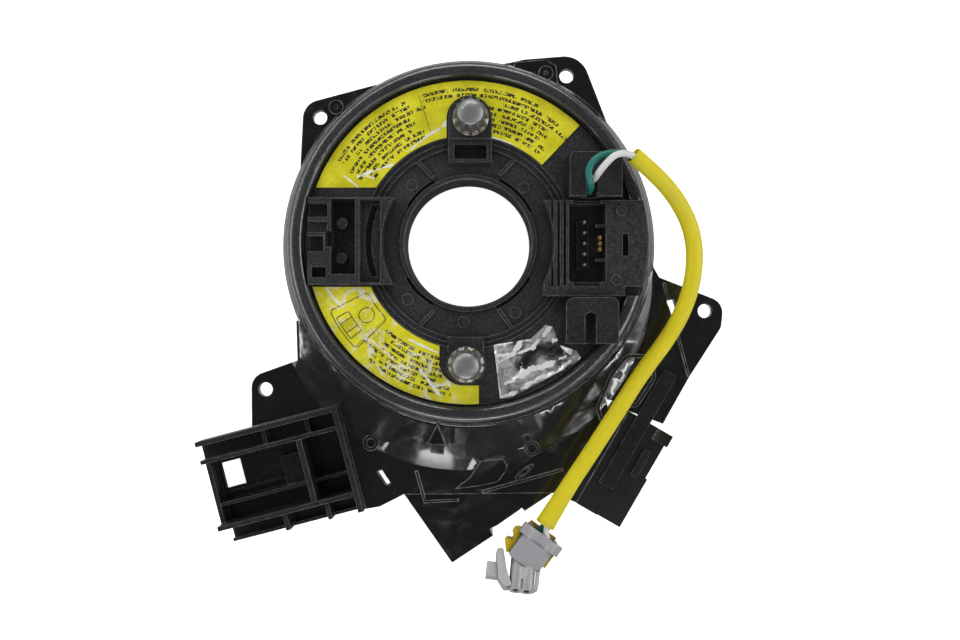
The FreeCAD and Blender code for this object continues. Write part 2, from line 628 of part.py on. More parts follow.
def hub_ribs():
    """Slanted ribs and small round pads on the hub ring."""
    ribs = []
    lines = [((-8.7, 18.8), (-16.0, 26.4)), ((8.3, 18.8), (15.6, 26.4)),
             ((-9.3, -18.6), (-16.2, -26.0)), ((7.4, -18.9), (12.8, -26.2))]
    for number, (start, end) in enumerate(lines):
        reach = (math.hypot(*start), math.hypot(*end))
        unit = [(e - s) / math.dist(start, end) for s, e in zip(start, end)]
        begin = (start[0] + unit[0] * 2.6, start[1] + unit[1] * 2.6)
        turn = math.degrees(math.atan2(unit[1], unit[0]))
        ribs.append(box(f"hub_rib_{number}", begin[0], begin[1], "hub_top - 0.5",
                        max(reach[1] - reach[0] - 0.5, 4.0), 1.1, 1.3, turn))
    for number, (x, y) in enumerate(((-17.3, 18.0), (17.2, 17.1), (-18.7, -17.4), (-1.5, -24.5),
                                     (14.5, -21.5))):
        ribs.append(cylinder(f"hub_pad_{number}", x, y, "hub_top - 0.5", 1.75, 0.85))
    return ribs


# Sockets on the rotor
def clipped_block(name, foot, low, high):
    """Block over a footprint, kept clear of the drum by a curved face."""
    x, y, lx, ly = foot
    play = val("insert_play")
    block = box(name + "_block", x + play, y + play, low, lx - 2 * play, ly - 2 * play,
                f"{high} - {low}")
    core = cylinder(name + "_core", 0, 0, 0, "drum_radius + 0.3 + insert_play", 60.0)
    return cut(name + "_clipped", block, core)


def left_socket():
    """Left socket with a deep slot for a plug and two round keying pegs."""
    body = clipped_block("left", LEFT_FOOT, "block_low", "rim_top")
    slot = box("left_slot", -41.8, -9.8, "block_low + 1.5", 7.4, 23.0, 20.0)
    face = box("left_face", -33.2, -12.4, "rim_top - 2.2", 6.4, 25.4, 10.0)
    channel = cylinder("left_channel_outer", 0, 0, "rim_top - 5", 31.6, 20.0)
    channel_in = cylinder("left_channel_inner", 0, 0, "rim_top - 5", 29.6, 20.0)
    channel = cut("left_channel_ring", channel, channel_in)
    span = box("left_channel_span", -34.0, -10.5, 0, 20.0, 22.0, 60.0)
    groove = doc.addObject("Part::MultiCommon", "left_channel")
    groove.Shapes = [channel, span]
    steps = [box("left_step_a", -48.9, 7.6, "rim_top - 3", 6.1, 4.2, 10.0),
             box("left_step_b", -48.9, -2.9, "rim_top - 3", 4.8, 4.8, 10.0),
             box("left_step_c", -43.6, -1.4, "rim_top - 5", 3.0, 4.8, 10.0),
             box("left_step_d", -47.6, -10.8, "rim_top - 4", 4.3, 3.2, 10.0),
             box("left_step_e", -48.9, 2.9, "rim_top - 1.6", 6.0, 3.4, 10.0)]
    pegs = [cylinder("left_peg_a", -38.7, 6.0, "block_low + 1", 1.6, "rim_top - block_low - 4"),
            cylinder("left_peg_b", -38.9, -4.8, "block_low + 1", 1.6, "rim_top - block_low - 4")]
    shell = cut("left_socket_cut", body, slot, face, groove, *steps)
    keep("left_socket", fuse("left_socket_body", shell, *pegs))


def right_socket():
    """Right socket block with its recess, outer plate and grooved flanks."""
    body = clipped_block("right", RIGHT_FOOT, "block_low", "block_top")
    recess = [box("right_recess", 30.7, -12.2, "block_top - socket_depth", 11.2, 23.8, 20.0),
              box("right_recess_step", 32.0, -13.6, "block_top - 3", 8.4, 26.6, 20.0),
              box("right_slot", 47.0, -4.3, "block_top - 4", 1.8, 6.7, 20.0),
              box("right_step", 47.6, -16.5, "block_top - 3", 10.0, 3.0, 20.0)]
    for number in range(3):
        recess.append(box(f"right_groove_{number}", 25.2 + 1.9 * number, -13.5, "block_top - 2.5",
                          0.9, 27.0, 20.0))
    ends = cylinder("right_end", 0, 0, "block_low - 1", "rotor_radius - 0.4", 20.0)
    shell = doc.addObject("Part::MultiCommon", "right_round")
    shell.Shapes = [body, ends]
    fins = [box("right_fin_a", 39.0, 4.6, "block_top - socket_depth - 1", 3.2, 0.8,
                "socket_depth - 1"),
            box("right_fin_b", 39.0, -5.9, "block_top - socket_depth - 1", 3.2, 0.8,
                "socket_depth - 1")]
    discs = [cylinder(f"right_disc_{n}", x, y, "block_top - 0.5", r, 0.9)
             for n, (x, y, r) in enumerate(((46.6, 9.4, 1.5), (45.1, -11.6, 1.6)))]
    bored = cut("right_socket_cut", shell, *recess)
    keep("right_socket", fuse("right_socket_body", bored, *fins, *discs))


PIN_LINE = (35.6, 6.1)


def socket_contacts():
    """Pin strip, its five pins and the three flat contacts beside it."""
    strip_box = box("pin_strip_block", 33.5, -8.4, "block_top - socket_depth", 3.6, 15.2, 2.6)
    keep("pin_strip", strip_box)
    pins = [cylinder(f"socket_pin_{n}", PIN_LINE[0], PIN_LINE[1] - n * val("pin_pitch"),
                     "block_top - socket_depth + 2.6", "pin_radius", "socket_depth - 4.1")
            for n in range(5)]
    for number, pin in enumerate(pins):
        pin.setExpression(".Placement.Base.y", f"{PIN_LINE[1]} - {number} * sheet.pin_pitch")
    keep("socket_pins", fuse("socket_pin_row", *pins))
    blades = [box(f"contact_{n}", 40.0, 0.9 - 1.8 * n, "block_top - socket_depth", 0.8, 1.1,
                  "socket_depth - 2.0") for n in range(3)]
    keep("contact_blades", fuse("contact_row", *blades))


def wire_caps():
    """Two moulded caps with a slot each; the upper one lets the lead out."""
    for name, (x, y, lx, ly), slot_x, slot_top, corner in (
            ("upper_wire_cap", UPPER_CAP, 35.7, 19.6, 1.5),
            ("lower_wire_cap", LOWER_CAP, 35.2, -21.4, 2.4)):
        play = val("insert_play")
        x0, y0, x1, y1 = x + play, y + play, x + lx - play, y + ly - play
        corners = [(x0, y0), (x1, y0), (x1, y1, corner), (x0, y1, corner)]
        block = prism(name + "_block", corners, "floor_top", "cap_top - floor_top")
        slot = box(name + "_slot", slot_x, y0 - 1, "floor_top + 2", "cap_slot",
                   slot_top - y0 + 1 - 1.65, 20.0)
        end = cylinder(name + "_slot_end", slot_x + 1.65, slot_top - 1.65, "floor_top + 2",
                       "0.5*cap_slot", 20.0)
        step = box(name + "_step", slot_x - 1.2, y0 - 1, "cap_top - 4", 5.7, 2.6, 2.2)
        keep(name, cut(name + "_cut", block, slot, end, step))


# Driving pegs, labels and film
def driving_peg(name, x, y):
    """Domed peg cover: a turned core with twelve narrow ribs set round it."""
    body = doc.addObject("PartDesign::Body", name + "_body")
    upright = next(o for o in body.Origin.OriginFeatures if o.Role == "XZ_Plane")

    def sketched(sketch_name, points):
        sketch = body.newObject("Sketcher::SketchObject", f"{name}_{sketch_name}")
        sketch.AttachmentSupport = [(upright, "")]
        sketch.MapMode = "FlatFace"
        draw(sketch, points)
        return sketch

    core_sketch = sketched("core_sketch", [
        (0, 0), (0, "peg_height"), ("peg_top_radius", "peg_height - 1.3", 6.5),
        ("peg_core_radius", 1.2), ("peg_base_radius", 0.6), ("peg_base_radius", 0)])
    core = body.newObject("PartDesign::Revolution", name + "_core")
    core.Profile = core_sketch
    core.ReferenceAxis = (core_sketch, ["V_Axis"])
    core.Angle = 360
    rib = body.newObject("PartDesign::Pad", name + "_rib")
    rib.Profile = sketched("rib_sketch", [
        (2, 0.3), (2, "peg_height - 1.8"), ("peg_top_radius + 0.7", "peg_height - 1.8"),
        ("peg_base_radius", 0.3)])
    rib.Midplane = True
    bind(rib, "Length", "peg_rib")
    ribs = body.newObject("PartDesign::PolarPattern", name + "_ribs")
    ribs.Originals = [rib]
    ribs.Axis = (core_sketch, ["V_Axis"])
    ribs.Angle = 360
    ribs.Occurrences = 12
    body.Tip = ribs
    place(body, x, y, "peg_foot")
    keep(name, body)


def labels():
    """Upper and lower yellow labels and the clear film, lying on the label floor."""
    def ring(name):
        outer = cylinder(name + "_outer", 0, 0, "floor_top", "label_outer - 0.7", "label_thick")
        inner = cylinder(name + "_inner", 0, 0, "floor_top - 1", "label_inner", 4.0)
        return cut(name + "_ring", outer, inner)
    tools = [box("upper_below", -60, -60, 30, 120, 76.9, 10),
             box("upper_right", 0, 0, 30, 80, 80, 10, 46.4 - 90),
             box("upper_notch", -6.6, 25, 30, 13.9, 13.2, 10),
             cylinder("upper_arch", 0.35, 38.2, 30, 6.95, 10)]
    keep("upper_label", cut("upper_label_cut", ring("upper"), *tools))
    notch_points = [(-8.8, 0), (-8.8, -37.9), (-7.9, -40.4), (-6.3, -42.2), (-4.0, -43.5),
                    (-2.2, -43.9), (20, -43.9), (20, 0)]
    tools = [box("lower_above", -60, -13.6, 30, 120, 80, 10),
             box("lower_right", 3.3, -80, 30, 80, 80, 10),
             prism("lower_notch", notch_points, 30, 10)]
    keep("lower_label", cut("lower_label_cut", ring("lower"), *tools))
    film = [(7.9, -31.4), (19.2, -29.6), (24.0, -25.2), (26.1, -26.0), (28.0, -31.4),
            (33.4, -33.3), (34.6, -35.4), (33.6, -36.8), (13.2, -47.6), (9.8, -48.0)]
    keep("clear_film", prism("film_sheet", film, "floor_top", 0.15))


# Lead: two wires in a sleeve, then the plug
LEAD = [
    (49.4, 25.4, 43.6), (57.0, 19.6, 41.2), (64.0, 12.2, 37.6), (68.9, 3.2, 34.4),
    (70.0, -7.2, 32.4), (67.9, -18.0, 31.0), (62.5, -28.7, 30.4), (53.6, -40.3, 30.2),
    (46.0, -52.6, 30.0), (38.0, -65.0, 29.9), (30.3, -76.6, 29.7), (23.4, -88.0, 29.5),
]
GREEN_START = [(37.2, 15.5, 35.05), (37.15, 15.6, 43.8), (35.3, 19.8, 46.6),
               (37.6, 24.4, 46.4), (43.4, 26.3, 44.6)]
WHITE_START = [(37.6, 18.2, 35.05), (37.7, 18.2, 44.8), (40.4, 22.0, 48.4),
               (44.2, 25.6, 47.6)]
GREEN_END = [(21.3, -91.0, 28.3)]
WHITE_END = [(24.4, -91.6, 30.4)]


def rounded_path(points):
    """Straight runs joined by tangent arcs, and the radius of each arc."""
    points = [Vector(*p) for p in points]
    edges, radii = [], []
    last = points[0]
    for before, here, after in zip(points, points[1:], points[2:]):
        back, ahead = before - here, after - here
        shorter = min(back.Length, ahead.Length)
        turn = math.pi - back.getAngle(ahead)
        reach = 0.45 * shorter
        radii.append(round(reach / math.tan(turn / 2), 1))
        back.normalize()
        ahead.normalize()
        start, end = here + back * reach, here + ahead * reach
        between = back + ahead
        between.normalize()
        radius = reach / math.tan(turn / 2)
        middle = here + between * (math.hypot(radius, reach) - radius)
        edges.append(Part.LineSegment(last, start).toShape())
        edges.append(Part.Arc(start, middle, end).toShape())
        last = end
    edges.append(Part.LineSegment(last, points[-1]).toShape())
    return Part.Wire(edges), radii


def tube(name, points, radius, hollow=0.0):
    """Round tube along a path, solid or hollow."""
    path, radii = rounded_path(points)
    start = Vector(*points[0])
    along = Vector(*points[1]) - start
    shapes = []
    for r in (radius, hollow):
        if r <= 0:
            continue
        ring = Part.Wire([Part.makeCircle(r, start, along)])
        shapes.append(path.makePipeShell([ring], True, False))
    solid = shapes[0] if len(shapes) == 1 else shapes[0].cut(shapes[1])
    area = math.pi * (radius ** 2 - hollow ** 2)
    print(name, "length", round(path.Length, 1), "radii", radii, "volume share",
          round(solid.Volume / (area * path.Length), 3))
    return keep(name, feature(name + "_tube", solid))


def lead():
    """Green and white wires stacked in a yellow sleeve."""
    stack = val("wire_stack")
    lower = [(x, y, z - stack) for x, y, z in LEAD]
    upper = [(x, y, z + stack) for x, y, z in LEAD]
    tube("green_wire", GREEN_START + lower + GREEN_END, val("wire_radius"))
    tube("white_wire", WHITE_START + upper + WHITE_END, val("wire_radius"))
    tube("lead_sleeve", LEAD, val("sleeve_outer"), val("sleeve_bore"))


PLUG_AT = Vector(22.4, -91.4, 29.2)
PLUG_TURN = -126.0
NOSE = Placement(Vector(8.6, -0.2, 0), Rotation(29, -36, 0))
LATCH_ARM = [
    (-2.2, -8.8, 1.0), (-2.2, -6.6, 0.8), (4.5, -5.0, 3.0), (9.6, -3.0, 0.4), (10.4, -5.2, 1.0),
    (7.5, -7.4, 1.5), (2.5, -8.2, 3.0),
]
RIGHT_LATCH = [(1.2, 4.2, 0.4), (1.0, 5.4, 0.6), (9.2, 5.2, 0.8), (10.2, 3.6, 0.4), (8.6, 3.4, 0.3),
               (8.4, 4.2, 0.3)]
HOOKED_SIDE = [
    (1.2, -5.5), (9.6, -5.5), (9.6, -6.2, 0.3), (8.6, -7.2, 0.6), (7.2, -8.3, 0.4),
    (6.0, -8.2, 0.3), (5.5, -6.6, 0.3), (4.3, -6.7, 0.3), (3.8, -7.9, 0.3), (2.2, -8.0, 0.6),
    (1.2, -6.9, 0.4),
]


def centred(name, u, v, w, lu, lv, lw):
    """Block in the plug's frame that starts at u and is centred on v and w."""
    return box(name, u, f"{v} - 0.5*({lv})", f"{w} - 0.5*({lw})", lu, lv, lw)


def along_nose(name, x, y, radius, length):
    """Round rod along the nose, from x on at y."""
    rod = doc.addObject("Part::Cylinder", name)
    rod.Placement = Placement(Vector(x, val(y), 0), Rotation(Vector(0, 1, 0), 90))
    bind(rod, "Radius", radius)
    bind(rod, "Height", length)
    bind(rod, ".Placement.Base.y", y)
    return rod


def plug_nose():
    """Nose of the plug with its two barrels, side latches and rear tab."""
    lift = Placement(Vector(0, 0, -1.8), Rotation())
    barrels = [along_nose(f"barrel_{n}", -1.2, f"{side}*0.5*nose_pitch", "nose_radius",
                          "nose_length + 1.2") for n, side in enumerate((-1, 1))]
    web = centred("nose_web", -1.2, 0, 0, "nose_length - 2", "nose_pitch + 1.2", 3.6)
    latches = [prism("latch_arm", LATCH_ARM, 0, 3.6, lift),
               prism("right_latch", RIGHT_LATCH, 0, 3.0, lift),
               box("latch_tab", 2.2, -11.2, -2.2, 4.8, 4.4, 3.0)]
    return fuse("plug_nose", web, *barrels, *latches)


def plug_body():
    """Body, collar with raised ends, and nose; bored for the contacts."""
    wide, thick = "plug_body_width", "plug_thick"
    block = prism("plug_block", [(0, -5.4), (0, 5.4), (7.4, 5.4), (9.2, 4.2, 0.6), (9.6, 1.0),
                                 (9.6, -5.4, 0.6)], "0 - 0.5*plug_thick", thick)
    collar = centred("plug_collar", -1.6, 0, 0.4, 3.2, wide, "plug_thick + 0.8")
    wings = centred("collar_wings", -1.6, 0, 2.9, 3.2, "plug_width", 3.0)
    dip = doc.addObject("Part::Cylinder", "collar_dip")
    dip.Placement = Placement(Vector(-2.0, 0, 12.0), Rotation(Vector(0, 1, 0), 90))
    dip.Radius = 9.2
    dip.Height = 4.0
    throat = centred("plug_throat", -2.6, 0, 0, 3.6, wide + " - 2.4", "plug_thick - 2.2")
    slot = centred("lock_slot", "1.7 - lock_travel - lock_gap", 0, 0,
                   "5.4 + lock_travel + 2*lock_gap", "plug_width + 2", "1.8 + 2*lock_gap")
    core = centred("slot_core", -6, 0, 0, 20, wide + " - 2.8", 3.0)
    nose = plug_nose()
    holes = fuse("nose_holes", *[along_nose(f"nose_hole_{n}", 2.6, f"{side}*0.5*nose_pitch",
                                            0.95, 12) for n, side in enumerate((-1, 1))])
    nose.Placement = holes.Placement = NOSE
    solid = fuse("plug_solid", block, collar, wings, nose)
    whole = cut("plug_whole", solid, dip, throat, cut("lock_slots", slot, core), holes)
    whole.Placement = Placement(PLUG_AT, Rotation(Vector(0, 0, 1), PLUG_TURN))
    keep("plug_body", whole)


def plug_lock():
    """Yellow lock plate that clasps the body; its left side has two hooks."""
    edge = "0.5*plug_body_width + lock_gap"
    under = "0 - 0.5*plug_thick - 0.5 - lock_gap"
    deep = "1.7 + 0.5*plug_thick + lock_gap"
    sides = [prism("hooked_side", HOOKED_SIDE, under, deep),
             box("plain_side", 0.4, edge, under, 6.4, 1.1, deep),
             centred("lock_plate", -2.3, 0, under + " - 0.6", 10.6, "plug_body_width - 1", 1.2),
             centred("lock_bridge", 1.7, 0, under + " - 0.6", 5.1, f"2*({edge}) + 2.2", 1.2)]
    for number, side in enumerate((-1, 1)):
        sides.append(centred(f"lock_flange_{number}", 1.7, f"{side}*({edge} - 0.45)", 0, 5.4, 1.2,
                             1.8))
    lock = fuse("plug_lock_body", *sides)
    lock.Placement = Placement(PLUG_AT, Rotation(Vector(0, 0, 1), PLUG_TURN))
    keep("plug_lock", lock)


def plug_contacts():
    """Two round contacts in the nose."""
    pair = doc.addObject("Part::Compound", "contact_pair")
    pair.Links = [along_nose(f"nose_contact_{n}", 2.6, f"{side}*0.5*nose_pitch", 0.6, 3)
                  for n, side in enumerate((-1, 1))]
    pair.Placement = Placement(PLUG_AT, Rotation(Vector(0, 0, 1), PLUG_TURN)).multiply(NOSE)
    keep("plug_contacts", pair)


def build():
    """Build every piece, check it and write its file."""
    stator_housing()
    back_cover()
    left_bay()
    right_bay()
    column_header()
    ribbon()
    ribbon_blocks()
    hub_sleeve()
    rotor_cover()
    left_socket()
    right_socket()
    socket_contacts()
    wire_caps()
    driving_peg("upper_peg", 0.8, 38.2)
    driving_peg("lower_peg", -0.6, -37.5)
    labels()
    lead()
    plug_body()
    plug_lock()
    plug_contacts()
    doc.recompute()
    check_and_write()


def check_and_write():
    """Stop on a broken object, else write one file per piece."""
    os.makedirs("parts", exist_ok=True)
    for obj in doc.Objects:
        if "Invalid" in obj.State or "Error" in obj.State:
            raise RuntimeError(f"{obj.Label} is broken: {obj.State}")
    for name, obj in PARTS.items():
        shape = obj.Shape
        if shape.isNull() or not shape.isValid() or not shape.Solids:
            raise RuntimeError(f"{name} has no sound solid")
        shape.exportStep(os.path.join("parts", name + ".step"))
        box_ = shape.BoundBox
        print(f"{name:18s} solids {len(shape.Solids):2d} faces {len(shape.Faces):4d} "
              f"volume {shape.Volume:9.1f} z {box_.ZMin:6.2f} {box_.ZMax:6.2f}")


build()
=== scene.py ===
# Looks of the steering clock spring: finishes, labels, film, lead, plug and studio.
# Metres, in the part's own frame: bore axis on Z, back plane at z = 0, +Z at the camera.
import logging
import math
from collections.abc import Sequence
from dataclasses import dataclass, field
from enum import Enum
from functools import cache, reduce

import bmesh
import bpy
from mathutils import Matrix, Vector, noise


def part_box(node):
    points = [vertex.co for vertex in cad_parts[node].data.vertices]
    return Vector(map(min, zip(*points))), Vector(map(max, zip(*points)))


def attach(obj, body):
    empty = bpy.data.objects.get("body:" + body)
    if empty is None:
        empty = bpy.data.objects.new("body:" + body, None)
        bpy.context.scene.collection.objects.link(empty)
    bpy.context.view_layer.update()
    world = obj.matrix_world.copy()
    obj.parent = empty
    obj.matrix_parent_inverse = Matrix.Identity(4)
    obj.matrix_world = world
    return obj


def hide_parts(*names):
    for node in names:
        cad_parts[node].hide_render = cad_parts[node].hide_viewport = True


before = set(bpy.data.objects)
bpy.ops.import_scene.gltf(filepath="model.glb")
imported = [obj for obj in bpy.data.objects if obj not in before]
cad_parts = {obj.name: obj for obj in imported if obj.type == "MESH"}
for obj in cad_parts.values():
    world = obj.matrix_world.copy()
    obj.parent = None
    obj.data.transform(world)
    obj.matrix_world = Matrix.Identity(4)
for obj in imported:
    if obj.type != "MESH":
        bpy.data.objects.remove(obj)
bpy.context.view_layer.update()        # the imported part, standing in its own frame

MM = 0.001                # one millimetre in the scene's metres
TO_MM = 1000.0            # metres to millimetres, in a material
MERGE = 0.002 * MM        # points nearer than this are one point
EDGE_ANGLE = 38.0         # a CAD node's edges sharper than this are rounded, in degrees
WHITE = (1.0, 1.0, 1.0, 1.0)
LOG = logging.getLogger("clock_spring")

Node = bpy.types.Node
Socket = bpy.types.NodeSocket
Tree = bpy.types.NodeTree
Colour = tuple[float, float, float]
Point = tuple[float, float, float]
Line = tuple[float, float, float, float, float]       # start x, y, end x, y, width, in mm
Outline = tuple[float, float, float, float, float]    # centre, half sizes, corner, in mm
Window = tuple[float, float, float, float]            # two angles in degrees, two radii in mm


class Body(Enum):
    """Bodies of the part that a piece can ride on."""

    STATOR = "stator"
    ROTOR = "rotor"
    LOCK = "lock"


class Pattern(Enum):
    """Print of a label."""

    ROWS = "rows"
    FRAME = "frame"


# Shader trees


class NodeSheet:
    """Adds and joins the nodes of one shader tree."""

    def __init__(self, tree: Tree) -> None:
        """Keep the tree that is filled."""
        self.tree = tree

    def add(self, kind: str, inputs: dict | None = None, **settings: object) -> Node:
        """Add a node.

        Args:
            kind: Blender's name of the node's type.
            inputs: Values or sockets by input name or number.
            settings: Properties of the node.

        Returns:
            The new node.
        """
        node = self.tree.nodes.new(kind)
        for key, value in settings.items():
            setattr(node, key, value)
        self.feed(node, inputs or {})
        return node

    def feed(self, node: Node, inputs: dict) -> None:
        """Link the sockets and set the plain values that go into a node.

        Args:
            node: Node that is fed.
            inputs: Values or sockets by input name or number.
        """
        for key, value in inputs.items():
            if isinstance(value, Socket):
                self.tree.links.new(value, node.inputs[key])
            else:
                node.inputs[key].default_value = value

    def group(self, tree: Tree, inputs: dict | None = None) -> Node:
        """Add a shared effect with its own values, and return its node."""
        return self.add("ShaderNodeGroup", inputs, node_tree=tree)

    def place(self) -> Socket:
        """Return the point on the piece, in metres."""
        return self.add("ShaderNodeTexCoord").outputs["Object"]

    def noise(self, at: Socket, scale: float | Socket = 1.0, detail: float = 0.0,
              roughness: float = 0.5, distortion: float | Socket = 0.0,
              dimensions: int = 3) -> Socket:
        """Add a noise pattern.

        Args:
            at: Where it is read: a point, or a number in one dimension.
            scale: How often it changes in a metre.
            detail: Number of finer layers.
            roughness: Strength of the finer layers.
            distortion: How much it is stirred.
            dimensions: Number of dimensions, one to three.

        Returns:
            The pattern's value, 0.5 on average.
        """
        where = "W" if dimensions == 1 else "Vector"
        node = self.add("ShaderNodeTexNoise",
                        {where: at, "Scale": scale, "Detail": detail, "Roughness": roughness,
                         "Distortion": distortion}, noise_dimensions=f"{dimensions}D")
        return node.outputs["Fac"]

    def bump(self, height: Socket, distance: float, normal: Socket | None = None) -> Socket:
        """Raise the surface.

        Args:
            height: Height as a share of the distance.
            distance: Full height, in metres.
            normal: Normal that it starts from, or none for the surface's own.

        Returns:
            The new normal.
        """
        start = {} if normal is None else {"Normal": normal}
        return self.add("ShaderNodeBump",
                        {"Distance": distance, "Height": height, **start}).outputs[0]

    def maths(self, operation: str, *values: float | Socket, clamp: bool = False) -> Socket:
        """Add a Math node.

        Args:
            operation: Name of the operation.
            values: Its one to three inputs.
            clamp: Whether the result is kept from 0 to 1.

        Returns:
            The result's socket.
        """
        node = self.add("ShaderNodeMath", dict(enumerate(values)), operation=operation,
                        use_clamp=clamp)
        return node.outputs[0]

    def fold(self, operation: str, values: Sequence[Socket]) -> Socket:
        """Work several values into one, two at a time."""
        return reduce(lambda one, other: self.maths(operation, one, other), values)

    def length(self, *parts: Socket) -> Socket:
        """Return the length of a vector from its parts."""
        squares = [self.maths("MULTIPLY", part, part) for part in parts]
        return self.maths("SQRT", self.fold("ADD", squares))

    def blend(self, factor: float | Socket, low: object, high: object) -> Socket:
        """Mix two colours.

        Args:
            factor: Share of the second colour.
            low: First colour, or its socket.
            high: Second colour, or its socket.

        Returns:
            The mixed colour's socket.
        """
        node = self.add("ShaderNodeMix", {0: factor, 6: low, 7: high}, data_type="RGBA")
        return node.outputs[2]

    def span(self, value: Socket, low: float, high: float, to_low: float = 0.0,
             to_high: float = 1.0, smooth: bool = True) -> Socket:
        """Map a value from one range to another, held at both ends.

        Args:
            value: Socket to map.
            low: Start of the range read.
            high: End of the range read.
            to_low: Result at the start.
            to_high: Result at the end.
            smooth: Whether the step is eased.

        Returns:
            The mapped value's socket.
        """
        kind = "SMOOTHSTEP" if smooth else "LINEAR"
        node = self.add("ShaderNodeMapRange",
                        {0: value, 1: low, 2: high, 3: to_low, 4: to_high},
                        interpolation_type=kind, clamp=True)
        return node.outputs[0]


class Effects:
    """Shader groups that several finishes share, each built once."""

    @staticmethod
    def start(name: str, inputs: dict[str, float],
              *outputs: str) -> tuple[NodeSheet, Node, Node]:
        """Open an empty group.

        Args:
            name: The group's name.
            inputs: Input names and their starting values.
            outputs: Output names.

        Returns:
            The sheet, the group's input node and its output node.
        """
        tree = bpy.data.node_groups.new(name, "ShaderNodeTree")
        kind = "NodeSocketFloat"
        for key, value in inputs.items():
            item = tree.interface.new_socket(name=key, in_out="INPUT", socket_type=kind)
            item.default_value = value
        for key in outputs:
            tree.interface.new_socket(name=key, in_out="OUTPUT", socket_type=kind)
        sheet = NodeSheet(tree)
        return sheet, sheet.add("NodeGroupInput"), sheet.add("NodeGroupOutput")

    @staticmethod
    @cache
    def grain() -> Tree:
        """Fine texture of a moulded face: its height, a slow mottle and a fine speckle."""
        sheet, given, out = Effects.start("moulded_grain",
                                          {"Scale": 1800.0, "Mottle Scale": 90.0},
                                          "Height", "Mottle", "Speckle")
        place, scale = sheet.place(), given.outputs["Scale"]
        fine = sheet.noise(place, scale, detail=3.0, roughness=0.65)
        slow = sheet.noise(place, given.outputs["Mottle Scale"], detail=4.0, roughness=0.6)
        cells = sheet.add("ShaderNodeTexVoronoi", {"Vector": place, "Scale": scale})
        pits = sheet.maths("MULTIPLY", cells.outputs["Distance"], 0.6)
        sheet.feed(out, {"Height": sheet.maths("ADD", fine, pits), "Mottle": slow,
                         "Speckle": sheet.span(fine, 0.36, 0.66)})
        return sheet.tree

    @staticmethod
    @cache
    def worn_and_glinting_edge() -> Tree:
        """Mask of the lighter line along every edge, part rubbed wear and part painted highlight.
        """
        sheet, given, out = Effects.start("worn_and_glinting_edge", {"Width": 0.0003}, "Mask")
        # The edge line is a painted highlight, broken up like rubbed wear.
        rounded = sheet.add("ShaderNodeBevel", {"Radius": given.outputs["Width"]}, samples=6)
        facing = sheet.add("ShaderNodeNewGeometry").outputs["Normal"]
        both = sheet.add("ShaderNodeVectorMath", {0: rounded.outputs[0], 1: facing},
                         operation="DOT_PRODUCT")
        line = sheet.span(both.outputs["Value"], 0.985, 0.86)
        wear = sheet.noise(sheet.place(), 420.0, detail=3.0, roughness=0.6)
        worn = sheet.span(wear, 0.3, 0.6, to_low=0.25)
        sheet.feed(out, {"Mask": sheet.maths("MULTIPLY", line, worn)})
        return sheet.tree

    @staticmethod
    @cache
    def waves() -> Tree:
        """Slow unevenness of a glossy moulded skin, as a height."""
        sheet, given, out = Effects.start("skin_waves", {"Scale": 60.0, "Stretch": 1.0}, "Height")
        broad = sheet.noise(sheet.place(), given.outputs["Scale"], detail=2.0, roughness=0.45,
                            distortion=given.outputs["Stretch"])
        sheet.feed(out, {"Height": broad})
        return sheet.tree

    @staticmethod
    @cache
    def handling() -> Tree:
        """Wiped marks and dust, as a mask."""
        sheet, given, out = Effects.start("handling_marks", {"Scale": 220.0, "Amount": 0.5},
                                          "Mask")
        marks = sheet.noise(sheet.place(), given.outputs["Scale"], detail=6.0, roughness=0.7,
                            distortion=0.6)
        strong = sheet.span(marks, 0.52, 0.78)
        sheet.feed(out, {"Mask": sheet.maths("MULTIPLY", strong, given.outputs["Amount"])})
        return sheet.tree

    @staticmethod
    @cache
    def polar() -> Tree:
        """Angle in degrees and radius in millimetres about the bore axis."""
        sheet, _, out = Effects.start("about_the_bore", {}, "Angle", "Radius")
        parts = sheet.add("ShaderNodeSeparateXYZ", {0: sheet.place()})
        x, y = parts.outputs["X"], parts.outputs["Y"]
        turn = sheet.maths("MULTIPLY", sheet.maths("ARCTAN2", y, x), math.degrees(1.0))
        radius = sheet.maths("MULTIPLY", sheet.length(x, y), TO_MM)
        sheet.feed(out, {"Angle": turn, "Radius": radius})
        return sheet.tree

    @staticmethod
    @cache
    def crease() -> Tree:
        """Mask of one crease between two points, in millimetres, with ragged sides."""
        sheet, given, out = Effects.start(
            "crease_line",
            {"Start X": 0.0, "Start Y": 0.0, "End X": 1.0, "End Y": 0.0, "Width": 0.5}, "Mask")
        place = sheet.place()
        parts = sheet.add("ShaderNodeSeparateXYZ", {0: place})
        away, run = [], []
        for axis in "XY":
            start = given.outputs[f"Start {axis}"]
            here = sheet.maths("MULTIPLY", parts.outputs[axis], TO_MM)
            away.append(sheet.maths("SUBTRACT", here, start))
            run.append(sheet.maths("SUBTRACT", given.outputs[f"End {axis}"], start))
        pairs = list(zip(away, run))
        dot = sheet.fold("ADD", [sheet.maths("MULTIPLY", *pair) for pair in pairs])
        square = sheet.fold("ADD", [sheet.maths("MULTIPLY", part, part) for part in run])
        share = sheet.maths("DIVIDE", dot, square, clamp=True)
        off = [sheet.maths("SUBTRACT", far, sheet.maths("MULTIPLY", way, share))
               for far, way in pairs]
        wander = sheet.noise(place, 320.0, detail=3.0, roughness=0.6)
        swing = sheet.span(wander, 0.3, 0.7, to_low=-0.3, to_high=1.5, smooth=False)
        wide = sheet.maths("MULTIPLY", given.outputs["Width"], swing)
        inside = sheet.maths("SUBTRACT", wide, sheet.length(*off))
        sheet.feed(out, {"Mask": sheet.span(inside, -0.12, 0.12)})
        return sheet.tree

    @staticmethod
    def creases(sheet: NodeSheet, lines: Sequence[Line]) -> list[Socket]:
        """Add one crease for each line, and return their masks."""
        keys = ("Start X", "Start Y", "End X", "End Y", "Width")
        return [sheet.group(Effects.crease(), dict(zip(keys, line))).outputs["Mask"]
                for line in lines]


